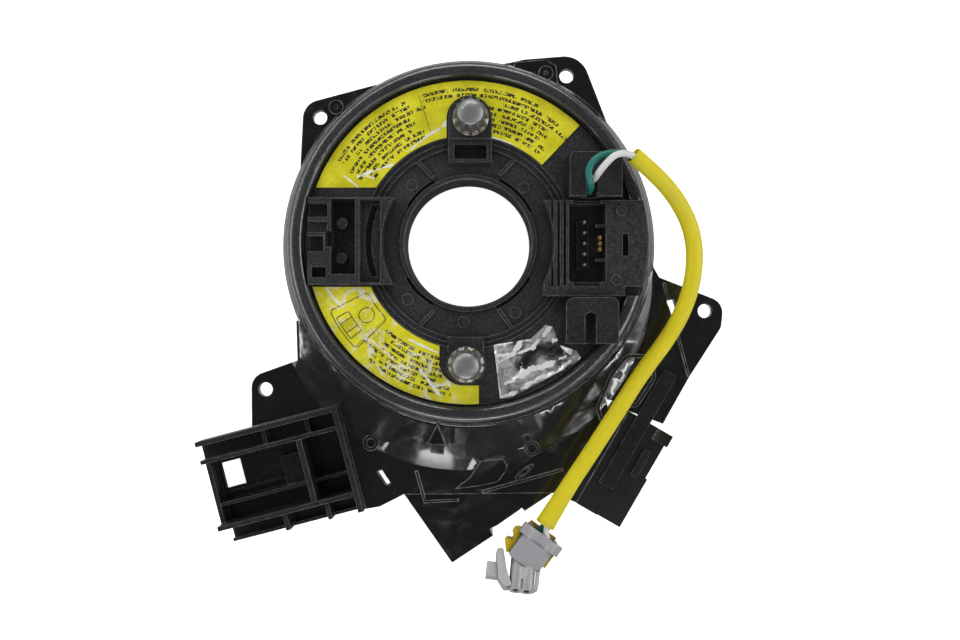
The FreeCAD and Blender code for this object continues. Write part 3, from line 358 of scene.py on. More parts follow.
# Finishes


@dataclass(frozen=True)
class Finish:
    """A material and the record's slot that it belongs to."""

    name: str
    slot: str
    colour: Colour

    def material(self) -> bpy.types.Material:
        """Return the finish's material, made on first use."""
        found = bpy.data.materials.get(self.name)
        if found is not None:
            return found
        made = bpy.data.materials.new(self.name)
        made.use_nodes = True
        made.diffuse_color = (*self.colour, 1.0)
        made.node_tree.nodes.clear()
        sheet = NodeSheet(made.node_tree)
        shader = sheet.add("ShaderNodeBsdfPrincipled")
        sheet.add("ShaderNodeOutputMaterial", {"Surface": shader.outputs[0]})
        self.fill(sheet, shader)
        return made

    def fill(self, sheet: NodeSheet, shader: Node) -> None:
        """Feed the shader; each kind of finish does this in its own way."""
        raise NotImplementedError

    def rgba(self, gain: float = 1.0) -> tuple[float, float, float, float]:
        """Return the colour times a gain, with full alpha."""
        return (*(min(1.0, part * gain) for part in self.colour), 1.0)


@dataclass(frozen=True)
class MouldedPlastic(Finish):
    """Injection moulded plastic with grain, slow waves, handling marks, edges painted lighter
    (part rubbed wear, part painted highlight) and painted shade in recesses.

    Depths, the edge's width and the reach of the painted shade in recesses are in metres.
    """

    roughness: float = 0.3
    uneven_gloss: float = 0.16
    grain: float = 1500.0
    grain_depth: float = 0.00002
    wave: float = 45.0
    wave_depth: float = 0.0
    marks: float = 0.4
    mark_dust: float = 0.12
    mark_roughness: float = 0.22
    coat: float = 0.1
    speckle: float = 2.2
    fine_share: float = 0.65
    # Strength, width and colour of the edges painted lighter: part wear, part painted highlight.
    edge_wear_and_glint: float = 0.5
    edge_width: float = 0.0003
    edge_wear_and_glint_colour: Colour = (0.42, 0.42, 0.43)
    # Reach and darkness of the painted shade in recesses.
    painted_shade_reach: float = 0.005
    painted_shade_gain: float = 0.08

    def fill(self, sheet: NodeSheet, shader: Node) -> None:
        """Mottled and speckled colour, uneven gloss and a bump from grain and waves."""
        grain = sheet.group(Effects.grain(), {"Scale": self.grain})
        marks = sheet.group(Effects.handling(), {"Amount": self.marks})
        mottle, mask = grain.outputs["Mottle"], marks.outputs["Mask"]
        share = sheet.maths("MULTIPLY_ADD", grain.outputs["Speckle"], self.fine_share,
                            sheet.maths("MULTIPLY", mottle, 1.0 - self.fine_share))
        contrast = 1.0 + self.speckle
        colour = sheet.blend(share, self.rgba(1.0 / contrast), self.rgba(contrast))
        dust = sheet.maths("MULTIPLY", mask, self.mark_dust)
        colour = sheet.blend(dust, colour, self.rgba(3.0))
        # Painted shade: recesses that ambient occlusion finds are painted darker.
        if self.painted_shade_reach > 0:
            light = sheet.add("ShaderNodeAmbientOcclusion", {"Distance": self.painted_shade_reach},
                              samples=4).outputs["AO"]
            colour = sheet.blend(sheet.span(light, 0.25, 0.9), self.rgba(self.painted_shade_gain),
                                 colour)
        # Painted highlight, part wear: edges are painted lighter in the edge colour.
        if self.edge_wear_and_glint > 0:
            edge = sheet.group(Effects.worn_and_glinting_edge(), {"Width": self.edge_width})
            strength = sheet.maths("MULTIPLY", edge.outputs["Mask"], self.edge_wear_and_glint)
            colour = sheet.blend(strength, colour, (*self.edge_wear_and_glint_colour, 1.0))
        spread = sheet.maths("MULTIPLY_ADD", sheet.maths("SUBTRACT", mottle, 0.5),
                             self.uneven_gloss, self.roughness)
        rough = sheet.maths("MULTIPLY_ADD", mask, self.mark_roughness, spread, clamp=True)
        normal = sheet.bump(grain.outputs["Height"], self.grain_depth)
        if self.wave_depth > 0:
            waves = sheet.group(Effects.waves(), {"Scale": self.wave})
            normal = sheet.bump(waves.outputs["Height"], self.wave_depth, normal)
        sheet.feed(shader, {"Base Color": colour, "Roughness": rough, "Normal": normal,
                            "IOR": 1.5, "Specular IOR Level": 0.4, "Coat Weight": self.coat,
                            "Coat Roughness": 0.08})


@dataclass(frozen=True)
class BareMetal(Finish):
    """Plated metal with fine draw marks."""

    roughness: float = 0.25
    uneven_gloss: float = 0.2
    marks: float = 5000.0
    mark_depth: float = 0.000005

    def fill(self, sheet: NodeSheet, shader: Node) -> None:
        """Metal colour with a mottled gloss."""
        grain = sheet.group(Effects.grain(), {"Scale": self.marks})
        mottle = grain.outputs["Mottle"]
        sheet.feed(shader, {
            "Base Color": sheet.blend(mottle, self.rgba(0.8), self.rgba(1.1)),
            "Roughness": sheet.maths("MULTIPLY_ADD", mottle, self.uneven_gloss, self.roughness),
            "Normal": sheet.bump(grain.outputs["Height"], self.mark_depth), "Metallic": 1.0})


@dataclass(frozen=True)
class SoftJacket(Finish):
    """Soft plastic of a wire or sleeve, slightly shiny and a little see-through."""

    roughness: float = 0.35
    uneven_gloss: float = 0.15
    grain: float = 2600.0
    grain_depth: float = 0.00001
    creases: float = 260.0
    crease_depth: float = 0.00003

    def fill(self, sheet: NodeSheet, shader: Node) -> None:
        """Even colour with faint drag marks and soft creases."""
        creases = sheet.noise(sheet.place(), self.creases, detail=3.0, roughness=0.55,
                              distortion=0.4)
        grain = sheet.group(Effects.grain(), {"Scale": self.grain})
        fine = sheet.bump(grain.outputs["Height"], self.grain_depth)
        sheet.feed(shader, {
            "Base Color": sheet.blend(grain.outputs["Mottle"], self.rgba(0.86), self.rgba(1.1)),
            "Roughness": sheet.maths("MULTIPLY_ADD", creases, self.uneven_gloss,
                                     self.roughness),
            "Normal": sheet.bump(creases, self.crease_depth, fine),
            "Specular IOR Level": 0.2, "Subsurface Weight": 0.08, "Subsurface Scale": 0.001})


@dataclass(frozen=True)
class LabelPrint(Finish):
    """Yellow label film printed with generic rows of short dark strokes.

    Rows are a pitch apart and their ends are ragged by some degrees. The rates say how fast
    strokes and words change along a row. The frame's outlines are measured along and across
    the arc from its middle, which is an angle in degrees and a radius in millimetres.
    """

    pattern: Pattern = Pattern.ROWS
    ink: Colour = (0.02, 0.018, 0.006)
    # Colour of the painted glare, a painted reflection on creases and patches.
    glare_colour: Colour = (0.9, 0.89, 0.84)
    pitch: float = 1.71
    ragged: float = 5.0
    row_shift: float = 17.3
    stroke_rate: float = 1.7
    word_rate: float = 0.42
    end_rate: float = 3.7
    relief: float = 0.00014
    creases: tuple[Line, ...] = ()
    patches: float = 0.0
    glare_share: float = 0.9
    frame_middle: tuple[float, float] = (-145.1, 40.9)
    frame_ink: float = 0.85
    outlines: tuple[Outline, ...] = (
        (0.0, 0.0, 6.15, 6.55, 1.2), (0.5, -2.6, 2.4, 2.4, 2.3), (-0.2, 3.6, 3.4, 2.1, 0.4),
        (-0.2, 3.6, 1.5, 2.1, 0.2))

    def fill(self, sheet: NodeSheet, shader: Node) -> None:
        """Yellow film, rows of strokes, and pale painted glare where the film is creased and in
        patches.
        """
        polar = sheet.group(Effects.polar())
        angle, radius = polar.outputs["Angle"], polar.outputs["Radius"]
        place = sheet.place()
        mottle = sheet.noise(place, 130.0, detail=6.0, roughness=0.62)
        speck = sheet.noise(place, 2400.0, detail=2.0, roughness=0.6)
        tone = sheet.maths("ADD", sheet.maths("MULTIPLY", mottle, 0.7),
                           sheet.maths("MULTIPLY", speck, 0.3))
        film = sheet.blend(sheet.span(tone, 0.36, 0.64), self.rgba(0.78), self.rgba(1.1))
        mask = self.rows(sheet, angle, radius)
        if self.pattern is Pattern.FRAME:
            mask = sheet.maths("MAXIMUM", mask, self.figure(sheet, angle, radius))
        glare = self.glare(sheet, place)
        printed = sheet.blend(mask, film, (*self.ink, 1.0))
        # Painted reflection: the glare mask paints creases and patches pale.
        sheet.feed(shader, {
            "Base Color": sheet.blend(glare, printed, (*self.glare_colour, 1.0)),
            "Roughness": sheet.span(mottle, 0.3, 0.7, to_low=0.3, to_high=0.48),
            "Normal": sheet.bump(sheet.maths("ADD", mottle, glare), self.relief),
            "Coat Weight": 0.15, "Coat Roughness": 0.1})

    def rows(self, sheet: NodeSheet, angle: Socket, radius: Socket) -> Socket:
        """Return a mask of short strokes in arcs about the bore, and of the rule lines.

        Args:
            sheet: The material's sheet.
            angle: Angle about the bore, in degrees.
            radius: Radius from the bore axis, in millimetres.

        Returns:
            A mask that is 1 on ink.
        """
        lines = sheet.maths("DIVIDE", radius, self.pitch)
        row, across = sheet.maths("FLOOR", lines), sheet.maths("FRACT", lines)
        middle = sheet.maths("MULTIPLY", sheet.maths("ADD", row, 0.5), self.pitch)
        turned = sheet.maths("MULTIPLY", angle, math.radians(1.0))
        arc = sheet.maths("MULTIPLY", turned, middle)
        along = sheet.maths("MULTIPLY_ADD", row, self.row_shift, arc)
        spot = sheet.add("ShaderNodeCombineXYZ",
                         {0: sheet.maths("MULTIPLY", along, self.stroke_rate),
                          1: sheet.maths("MULTIPLY", lines, 1.5)})
        strokes = sheet.noise(spot.outputs[0], detail=1.0, roughness=0.6, dimensions=2)
        words = sheet.noise(sheet.maths("MULTIPLY", along, self.word_rate), dimensions=1)
        ends = sheet.noise(sheet.maths("MULTIPLY", row, self.end_rate), dimensions=1)
        shift = sheet.span(ends, 0.35, 0.65, to_low=-self.ragged, to_high=self.ragged,
                           smooth=False)
        uneven = sheet.maths("ADD", angle, shift)
        band = sheet.maths("MULTIPLY", sheet.span(across, 0.16, 0.22),
                           sheet.span(across, 0.84, 0.78))
        blocks = [self.window(sheet, uneven, radius, block) for block in self.blocks()]
        masks = [sheet.span(strokes, 0.43, 0.47), sheet.span(words, 0.34, 0.36), band,
                 sheet.fold("MAXIMUM", blocks)]
        rule = self.window(sheet, angle, radius, self.rule())
        return sheet.fold("MULTIPLY", [sheet.maths("MAXIMUM", mask, rule) for mask in masks])

    def blocks(self) -> tuple[Window, ...]:
        """Return the blocks of strokes."""
        if self.pattern is Pattern.ROWS:
            return ((111.5, 146.0, 34.2, 47.9), (50.5, 80.0, 34.2, 46.2),
                    (60.0, 106.0, 44.5, 48.2))
        return ((-133.0, -99.0, 35.9, 48.0),)

    def rule(self) -> Window:
        """Return the thin rule line across the label."""
        if self.pattern is Pattern.ROWS:
            return (108.3, 108.9, 34.5, 47.9)
        return (-137.6, -137.0, 34.2, 47.6)

    def figure(self, sheet: NodeSheet, angle: Socket, radius: Socket) -> Socket:
        """Return a mask of plain outlines: a bent frame with a ring and two boxes in it."""
        middle_angle, middle_radius = self.frame_middle
        turned = sheet.maths("SUBTRACT", angle, middle_angle)
        along = sheet.maths("MULTIPLY", turned, math.radians(middle_radius))
        out = sheet.maths("SUBTRACT", radius, middle_radius)
        lines = []
        for x, y, wide, tall, bend in self.outlines:
            past = []
            for way, centre, half in ((along, x, wide), (out, y, tall)):
                side = sheet.maths("ABSOLUTE", sheet.maths("SUBTRACT", way, centre))
                past.append(sheet.maths("MAXIMUM", 0.0,
                                        sheet.maths("SUBTRACT", side, half - bend)))
            off = sheet.maths("SUBTRACT", sheet.length(*past), bend)
            lines.append(sheet.span(sheet.maths("ABSOLUTE", off), 0.24, 0.12))
        return sheet.maths("MULTIPLY", sheet.fold("MAXIMUM", lines), self.frame_ink)

    def glare(self, sheet: NodeSheet, place: Socket) -> Socket:
        """Return a mask of the painted glare on the creases and in patches."""
        veins = sheet.noise(place, 150.0, detail=7.0, roughness=0.72, distortion=1.4)
        patches = sheet.maths("MULTIPLY", sheet.span(veins, 0.52, 0.62), self.patches)
        masks = [patches, *Effects.creases(sheet, self.creases)]
        return sheet.maths("MULTIPLY", sheet.fold("MAXIMUM", masks), self.glare_share)

    @staticmethod
    def window(sheet: NodeSheet, angle: Socket, radius: Socket, sides: Window,
               ease_angle: float = 0.3, ease_radius: float = 0.2) -> Socket:
        """Return a mask of a bent window.

        Args:
            sheet: The material's sheet.
            angle: Angle about the bore, in degrees.
            radius: Radius from the bore axis, in millimetres.
            sides: The window.
            ease_angle: Width of the soft edge at its ends, in degrees.
            ease_radius: Width of the soft edge along its arcs, in millimetres.

        Returns:
            A mask that is 1 inside.
        """
        low, high, inner, outer = sides
        return sheet.fold("MULTIPLY", (
            sheet.span(angle, low, low + ease_angle), sheet.span(angle, high, high - ease_angle),
            sheet.span(radius, inner, inner + ease_radius),
            sheet.span(radius, outer, outer - ease_radius)))


@dataclass(frozen=True)
class ClearSheet(Finish):
    """Clear creased film: dark where it lies flat, milky in patches, and with painted white
    highlights on its folds.
    """

    folds: tuple[Line, ...] = ()
    # Strength of the painted white highlight on the folds.
    fold_highlight_gain: float = 1.3
    relief: float = 0.00025

    def fill(self, sheet: NodeSheet, shader: Node) -> None:
        """Grey patches under a glossy coat, with painted white highlights on its rolled edges and
        folds.
        """
        place = sheet.place()
        veins = sheet.noise(place, 420.0, detail=5.0, roughness=0.65, distortion=0.8)
        broad = sheet.noise(place, 95.0, detail=3.0, roughness=0.5, distortion=0.5)
        patches = sheet.maths("MULTIPLY", sheet.span(broad, 0.3, 0.62, to_high=0.55),
                              sheet.span(veins, 0.3, 0.62, to_low=0.4))
        folds = sheet.fold("MAXIMUM", Effects.creases(sheet, self.folds))
        # Painted highlight: the folds are painted white.
        bright = sheet.maths("MULTIPLY", folds, self.fold_highlight_gain)
        white = sheet.maths("MAXIMUM", patches, bright, clamp=True)
        sheet.feed(shader, {
            "Base Color": sheet.blend(white, self.rgba(0.03), self.rgba()),
            "Alpha": sheet.span(white, 0.0, 0.35, to_low=0.45, to_high=0.97),
            "Normal": sheet.bump(white, self.relief), "Roughness": 0.15,
            "Coat Weight": 0.8, "Coat Roughness": 0.06})


@dataclass(frozen=True)
class PegPlastic(Finish):
    """Grey translucent plastic, blended to a darker amber tint towards the foot."""

    tint: Colour = (0.12, 0.1, 0.06)
    low: float = 0.0355
    high: float = 0.0445
    grain_depth: float = 0.00002

    def fill(self, sheet: NodeSheet, shader: Node) -> None:
        """Blend from the tint at the foot to grey on the dome."""
        height = sheet.add("ShaderNodeSeparateXYZ", {0: sheet.place()}).outputs["Z"]
        grain = sheet.group(Effects.grain())
        mottled = sheet.blend(grain.outputs["Mottle"], self.rgba(0.8), self.rgba(1.25))
        share = sheet.span(height, self.low, self.high)
        sheet.feed(shader, {
            "Base Color": sheet.blend(share, (*self.tint, 1.0), mottled),
            "Normal": sheet.bump(grain.outputs["Height"], self.grain_depth),
            "Roughness": 0.36, "Coat Weight": 0.2, "Coat Roughness": 0.15})


class Palette:
    """The part's finishes."""

    skin = MouldedPlastic(
        "stator_skin", "black_gloss", (0.0036, 0.0038, 0.0046), roughness=0.22, grain=1300.0,
        grain_depth=0.00001, wave=58.0, wave_depth=0.0013, marks=0.3, coat=0.8, speckle=1.6,
        edge_wear_and_glint=1.0, edge_width=0.0005, painted_shade_reach=0.003)
    satin = MouldedPlastic(
        "rotor_satin", "black_satin", (0.017, 0.017, 0.019), grain_depth=0.00006,
        wave_depth=0.0002, marks=0.35, coat=0.3, speckle=2.4, edge_wear_and_glint=0.6)
    sleeve_black = MouldedPlastic(
        "hub_satin", "black_satin", (0.017, 0.017, 0.019), grain_depth=0.00004, marks=0.3,
        coat=0.3, speckle=2.0)
    matte = MouldedPlastic("bay_matte", "black_matte", (0.0045, 0.0045, 0.005), roughness=0.28,
                           grain=1400.0)
    tray = MouldedPlastic(
        "tray_matte", "black_matte", (0.012, 0.0125, 0.0135), grain=1400.0,
        grain_depth=0.00003, coat=0.15, speckle=1.8, edge_wear_and_glint=0.7, painted_shade_reach=0.0025)
    cap = MouldedPlastic(
        "cap_matte", "black_matte", (0.012, 0.012, 0.013), grain=1700.0, grain_depth=0.00005,
        coat=0.2, edge_wear_and_glint=0.9, painted_shade_reach=0.003)
    peg = PegPlastic("peg_grey", "grey_plastic", (0.15, 0.16, 0.155))
    shell = MouldedPlastic(
        "plug_grey", "light_grey_plastic", (0.37, 0.37, 0.39), roughness=0.4, grain=2200.0,
        grain_depth=0.00003, marks=0.1, speckle=0.12, edge_wear_and_glint=0.3, painted_shade_reach=0.003)
    lock = MouldedPlastic(
        "lock_yellow", "yellow_plastic", (0.78, 0.56, 0.008), roughness=0.4, grain=2200.0,
        marks=0.1, speckle=0.08, edge_wear_and_glint=0.0, painted_shade_reach=0.003)
    label_rows = LabelPrint(
        "label_print_rows", "yellow_label", (0.8, 0.74, 0.008),
        creases=((-4.9, 37.3, -13.3, 32.1, 0.6), (-13.3, 32.1, -18.8, 27.9, 0.45),
                 (-23.7, 23.8, -33.8, 20.4, 0.55), (-38.0, 20.4, -33.8, 17.0, 0.4),
                 (-6.5, 37.0, -8.6, 34.6, 0.5), (7.7, 32.1, 14.7, 30.0, 0.4),
                 (-33.0, 20.6, -28.9, 19.8, 0.4)))
    label_frame = LabelPrint(
        "label_print_frame", "yellow_label", (0.8, 0.74, 0.008), Pattern.FRAME, patches=0.75,
        creases=((-17.9, -29.9, -9.3, -33.9, 0.35), (-30.1, -29.9, -19.4, -38.6, 0.3),
                 (-8.3, -37.9, -5.6, -43.8, 0.55), (-14.7, -39.2, -8.6, -47.0, 0.5),
                 (-43.6, -14.0, -39.3, -19.2, 0.5)))
    film = ClearSheet(
        "creased_film", "clear_film", (0.9, 0.9, 0.92),
        folds=((7.9, -32.0, 8.8, -38.5, 0.5), (8.8, -38.5, 9.9, -47.9, 0.6),
               (7.9, -31.9, 15.6, -29.5, 0.7), (9.0, -34.8, 14.3, -34.0, 0.7),
               (14.3, -33.8, 16.3, -29.7, 0.9), (9.4, -36.6, 19.6, -32.3, 0.5),
               (19.6, -32.1, 25.6, -25.9, 0.9), (16.3, -29.5, 24.3, -24.6, 0.6),
               (26.2, -30.0, 28.4, -29.8, 0.9), (28.4, -29.9, 31.3, -34.1, 1.1),
               (11.6, -43.4, 16.9, -40.3, 1.1), (16.9, -40.3, 23.6, -37.6, 1.2),
               (23.6, -37.6, 29.8, -35.2, 1.3), (10.3, -47.6, 14.3, -46.2, 0.9),
               (14.3, -46.2, 21.8, -41.7, 0.8), (21.8, -41.7, 28.4, -39.3, 0.8),
               (28.4, -39.3, 33.3, -34.6, 0.9), (14.3, -47.9, 34.0, -37.4, 0.3)))
    ribbon = MouldedPlastic(
        "ribbon_amber", "ribbon_film", (0.5, 0.3, 0.1), grain=2200.0, grain_depth=0.00001,
        marks=0.1, coat=0.0, speckle=0.1, edge_wear_and_glint=0.0, painted_shade_reach=0.0)
    sleeve = SoftJacket("sleeve_yellow", "yellow_sleeve", (0.8, 0.68, 0.006), roughness=0.42)
    green = SoftJacket("wire_green", "green_wire", (0.015, 0.2, 0.16))
    white = SoftJacket("wire_white", "white_wire", (0.8, 0.8, 0.8))
    tin = BareMetal("pin_tin", "tin", (0.62, 0.62, 0.64))
    gold = BareMetal("contact_gold", "gold", (0.85, 0.62, 0.2))


# Mesh helpers


def new_piece(name: str, mesh: bpy.types.Mesh, finish: Finish, body: Body,
              *stands_for: str) -> bpy.types.Object:
    """Put a mesh in the scene as a finished piece.

    Args:
        name: The piece's name.
        mesh: Its mesh, in place.
        finish: Its finish.
        body: Body that it rides on.
        stands_for: CAD nodes that it replaces.

    Returns:
        The new object.
    """
    piece = bpy.data.objects.new(name, mesh)
    bpy.context.scene.collection.objects.link(piece)
    mesh.materials.clear()
    mesh.materials.append(finish.material())
    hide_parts(*stands_for)
    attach(piece, body.value)
    LOG.info("%s: %d faces", name, len(mesh.polygons))
    return piece


def merged_copy(node: str) -> bmesh.types.BMesh:
    """Return a CAD node's mesh with its loose triangles joined."""
    bm = bmesh.new()
    bm.from_mesh(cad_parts[node].data)
    bmesh.ops.remove_doubles(bm, verts=bm.verts, dist=MERGE)
    return bm


def to_mesh(bm: bmesh.types.BMesh, name: str, sharp: float) -> bpy.types.Mesh:
    """Turn a bmesh into a smooth mesh.

    Args:
        bm: The bmesh, freed here.
        name: The mesh's name.
        sharp: Angle from which an edge stays sharp, in degrees.

    Returns:
        The mesh.
    """
    mesh = bpy.data.meshes.new(name)
    for face in bm.faces:
        face.smooth = True
    limit = math.radians(sharp)
    for edge in bm.edges:
        edge.smooth = len(edge.link_faces) == 2 and edge.calc_face_angle(0.0) < limit
    bm.to_mesh(mesh)
    bm.free()
    return mesh


def dress(node: str, finish: Finish, edge: float = 0.0) -> None:
    """Give a CAD node its material and soft edges.

    Args:
        node: Name of the CAD node.
        finish: Its finish.
        edge: Width of the rounding on its sharp edges, in millimetres.
    """
    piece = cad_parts[node]
    for slot in piece.material_slots:
        slot.link = "OBJECT"
        slot.material = finish.material()
    if edge > 0:
        weld = piece.modifiers.new("joined", "WELD")
        weld.merge_threshold = MERGE
        bevel = piece.modifiers.new("soft_edges", "BEVEL")
        bevel.width = edge * MM
        bevel.segments = 2
        bevel.limit_method = "ANGLE"
        bevel.angle_limit = math.radians(EDGE_ANGLE)
        bevel.harden_normals = True
    LOG.info("%s wears %s", node, finish.name)


# Sub-assemblies


Looks = dict[str, tuple[Finish, float]]    # finish, and rounding in mm, by CAD node


class DressedNodes:
    """CAD nodes that keep their shape and get their finish."""

    nodes: Looks

    def build(self) -> None:
        """Dress every node."""
        for node, (finish, edge) in self.nodes.items():
            dress(node, finish, edge)


@dataclass
class Stator(DressedNodes):
    """Housing, back cover, bays, column header and winding."""

    nodes: Looks = field(default_factory=lambda: {
        "stator_housing": (Palette.skin, 0.3), "back_cover": (Palette.satin, 0.0),
        "left_stalk_bay": (Palette.tray, 0.14), "right_stalk_bay": (Palette.matte, 0.14),
        "column_header": (Palette.matte, 0.0), "column_pins": (Palette.tin, 0.0),
        "ribbon_cable": (Palette.ribbon, 0.0), "outer_terminal": (Palette.matte, 0.0)})


@dataclass
class Rotor(DressedNodes):
    """Hub, cover, sockets, caps and pegs."""

    nodes: Looks = field(default_factory=lambda: {
        "hub_sleeve": (Palette.sleeve_black, 0.0), "rotor_cover": (Palette.satin, 0.2),
        "left_socket": (Palette.satin, 0.2), "right_socket": (Palette.satin, 0.2),
        "pin_strip": (Palette.matte, 0.1), "socket_pins": (Palette.tin, 0.0),
        "contact_blades": (Palette.gold, 0.0), "upper_wire_cap": (Palette.cap, 0.3),
        "lower_wire_cap": (Palette.cap, 0.3), "upper_peg": (Palette.peg, 0.2),
        "lower_peg": (Palette.peg, 0.2), "inner_terminal": (Palette.matte, 0.0)})


@dataclass
class Plug(DressedNodes):
    """Plug body, its contacts and the yellow lock."""

    nodes: Looks = field(default_factory=lambda: {
        "plug_body": (Palette.shell, 0.2), "plug_contacts": (Palette.tin, 0.0),
        "plug_lock": (Palette.lock, 0.2)})


@dataclass
class FilmPiece:
    """A thin sheet cut fine and raised in creases, in the place of its CAD node.

    The step of the net and the lift of the creases are in millimetres. A higher thinness
    leaves narrower creases, and edges over the sharp angle, in degrees, stay sharp.
    """

    node: str
    name: str
    finish: Finish
    step: float = 1.2
    lift: float = 0.25
    crease: float = 90.0
    thinness: float = 2.2
    seed: float = 0.0
    sharp: float = 60.0

    def build(self) -> None:
        """Slice the node's own outline into a fine net and crease its top."""
        bm = merged_copy(self.node)
        low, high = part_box(self.node)
        for axis in (0, 1):
            normal = Vector((0, 0, 0))
            normal[axis] = 1
            span = high[axis] - low[axis]
            count = int(span / (self.step * MM))
            for number in range(1, count):
                at = normal * (low[axis] + span * number / count)
                bmesh.ops.bisect_plane(bm, geom=bm.verts[:] + bm.edges[:] + bm.faces[:],
                                       plane_co=at, plane_no=normal, dist=MERGE)
        middle = (low[2] + high[2]) / 2
        for vert in bm.verts:
            if vert.co.z > middle:
                vert.co.z += self.height(vert.co) * MM
        mesh = to_mesh(bm, self.name, self.sharp)
        new_piece(self.name, mesh, self.finish, Body.ROTOR, self.node)

    def height(self, at: Vector) -> float:
        """Return how far the film stands up at a point, in millimetres."""
        place = at * self.crease + Vector((self.seed, 0, 0))
        folds = 1 - abs(noise.noise(place)) * self.thinness
        return max(0.0, folds) ** 3 * self.lift


@dataclass
class Lead:
    """Two wires and the yellow sleeve, from the upper cap to the plug, in millimetres."""

    route: tuple[Point, ...] = (
        (49.4, 25.4, 43.6), (57.0, 19.6, 41.2), (64.0, 12.2, 37.6), (68.9, 3.2, 34.4),
        (70.0, -7.2, 32.4), (67.9, -18.0, 31.0), (62.5, -28.7, 30.4), (53.6, -40.3, 30.2),
        (46.0, -52.6, 30.0), (38.0, -65.0, 29.9), (30.3, -76.6, 29.7), (23.4, -88.0, 29.5))
    green_start: tuple[Point, ...] = ((37.2, 15.5, 35.05), (37.15, 15.6, 43.8),
                                      (35.3, 19.8, 46.6), (37.6, 24.4, 46.4),
                                      (43.4, 26.3, 44.6))
    white_start: tuple[Point, ...] = ((37.6, 18.2, 35.05), (37.7, 18.2, 44.8),
                                      (40.4, 22.0, 48.4), (44.2, 25.6, 47.6))
    green_end: tuple[Point, ...] = ((21.3, -91.0, 28.3),)
    white_end: tuple[Point, ...] = ((24.4, -91.6, 30.4),)
    sleeve_end: Point = (23.8, -87.4, 29.5)
    stack: float = 1.07
    wire_radius: float = 1.0
    sleeve_radius: float = 2.6
    sleeve_wall: float = 0.4
    sleeve_flare: float = 1.2
    lengths: tuple[float, float, float] = (170.3, 165.2, 135.8)

    def build(self) -> None:
        low = tuple((x, y, z - self.stack) for x, y, z in self.route)
        high = tuple((x, y, z + self.stack) for x, y, z in self.route)
        green, white, cover = self.lengths
        for name, node, points, finish, length in (
                ("green_lead_wire", "green_wire", self.green_start + low + self.green_end,
                 Palette.green, green),
                ("white_lead_wire", "white_wire", self.white_start + high + self.white_end,
                 Palette.white, white)):
            wire = self.curve(name, points, self.wire_radius)
            self.finish(wire, finish, node)
        sleeve = self.curve("lead_sleeve_tube", self.route[:-1] + (self.sleeve_end,),
                            self.sleeve_radius, self.sleeve_flare)
        wall = sleeve.modifiers.new("wall", "SOLIDIFY")
        wall.thickness = self.sleeve_wall * MM
        wall.offset = -1
        self.finish(sleeve, Palette.sleeve, "lead_sleeve")

    def curve(self, name: str, points: tuple[Point, ...], radius: float,
              flare: float = 1.0) -> bpy.types.Object:
        """Return a round curve that follows a route.

        Args:
            name: The piece's name.
            points: Control points, in millimetres.
            radius: Radius of its section, in millimetres.
            flare: How much wider its far end is.

        Returns:
            The curve object.
        """
        data = bpy.data.curves.new(name, "CURVE")
        data.dimensions = "3D"
        spline = data.splines.new("NURBS")
        spline.points.add(len(points) - 1)
        for place, (x, y, z) in zip(spline.points, points):
            place.co = (x * MM, y * MM, z * MM, 1.0)
        spline.points[-1].radius = flare
        spline.order_u = 3
        spline.use_endpoint_u = True
        spline.resolution_u = 10
        data.bevel_depth = radius * MM
        data.bevel_resolution = 6
        piece = bpy.data.objects.new(name, data)
        bpy.context.scene.collection.objects.link(piece)
        return piece

    def finish(self, piece: bpy.types.Object, finish: Finish, node: str) -> None:
        """Give a curve its material, node and body."""
        piece.data.materials.append(finish.material())
        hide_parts(node)
        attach(piece, Body.ROTOR.value)
        LOG.info("%s stands for %s", piece.name, node)


@dataclass(frozen=True)
class Lamp:
    """A flat lamp that faces the part, in metres and watts."""

    name: str
    at: Point
    wide: float
    tall: float
    power: float
    lights_all: bool = False
    mirrored: bool = True

    def hang(self, aim: Vector) -> None:
        """Put the lamp in the scene, turned to a point."""
        data = bpy.data.lights.new(self.name, "AREA")
        data.shape = "RECTANGLE"
        data.size = self.wide
        data.size_y = self.tall
        data.energy = self.power
        lamp = bpy.data.objects.new(self.name, data)
        lamp.location = self.at
        lamp.rotation_euler = (aim - Vector(self.at)).to_track_quat("-Z", "Y").to_euler()
        lamp.visible_diffuse = self.lights_all
        lamp.visible_glossy = self.mirrored
        bpy.context.scene.collection.objects.link(lamp)


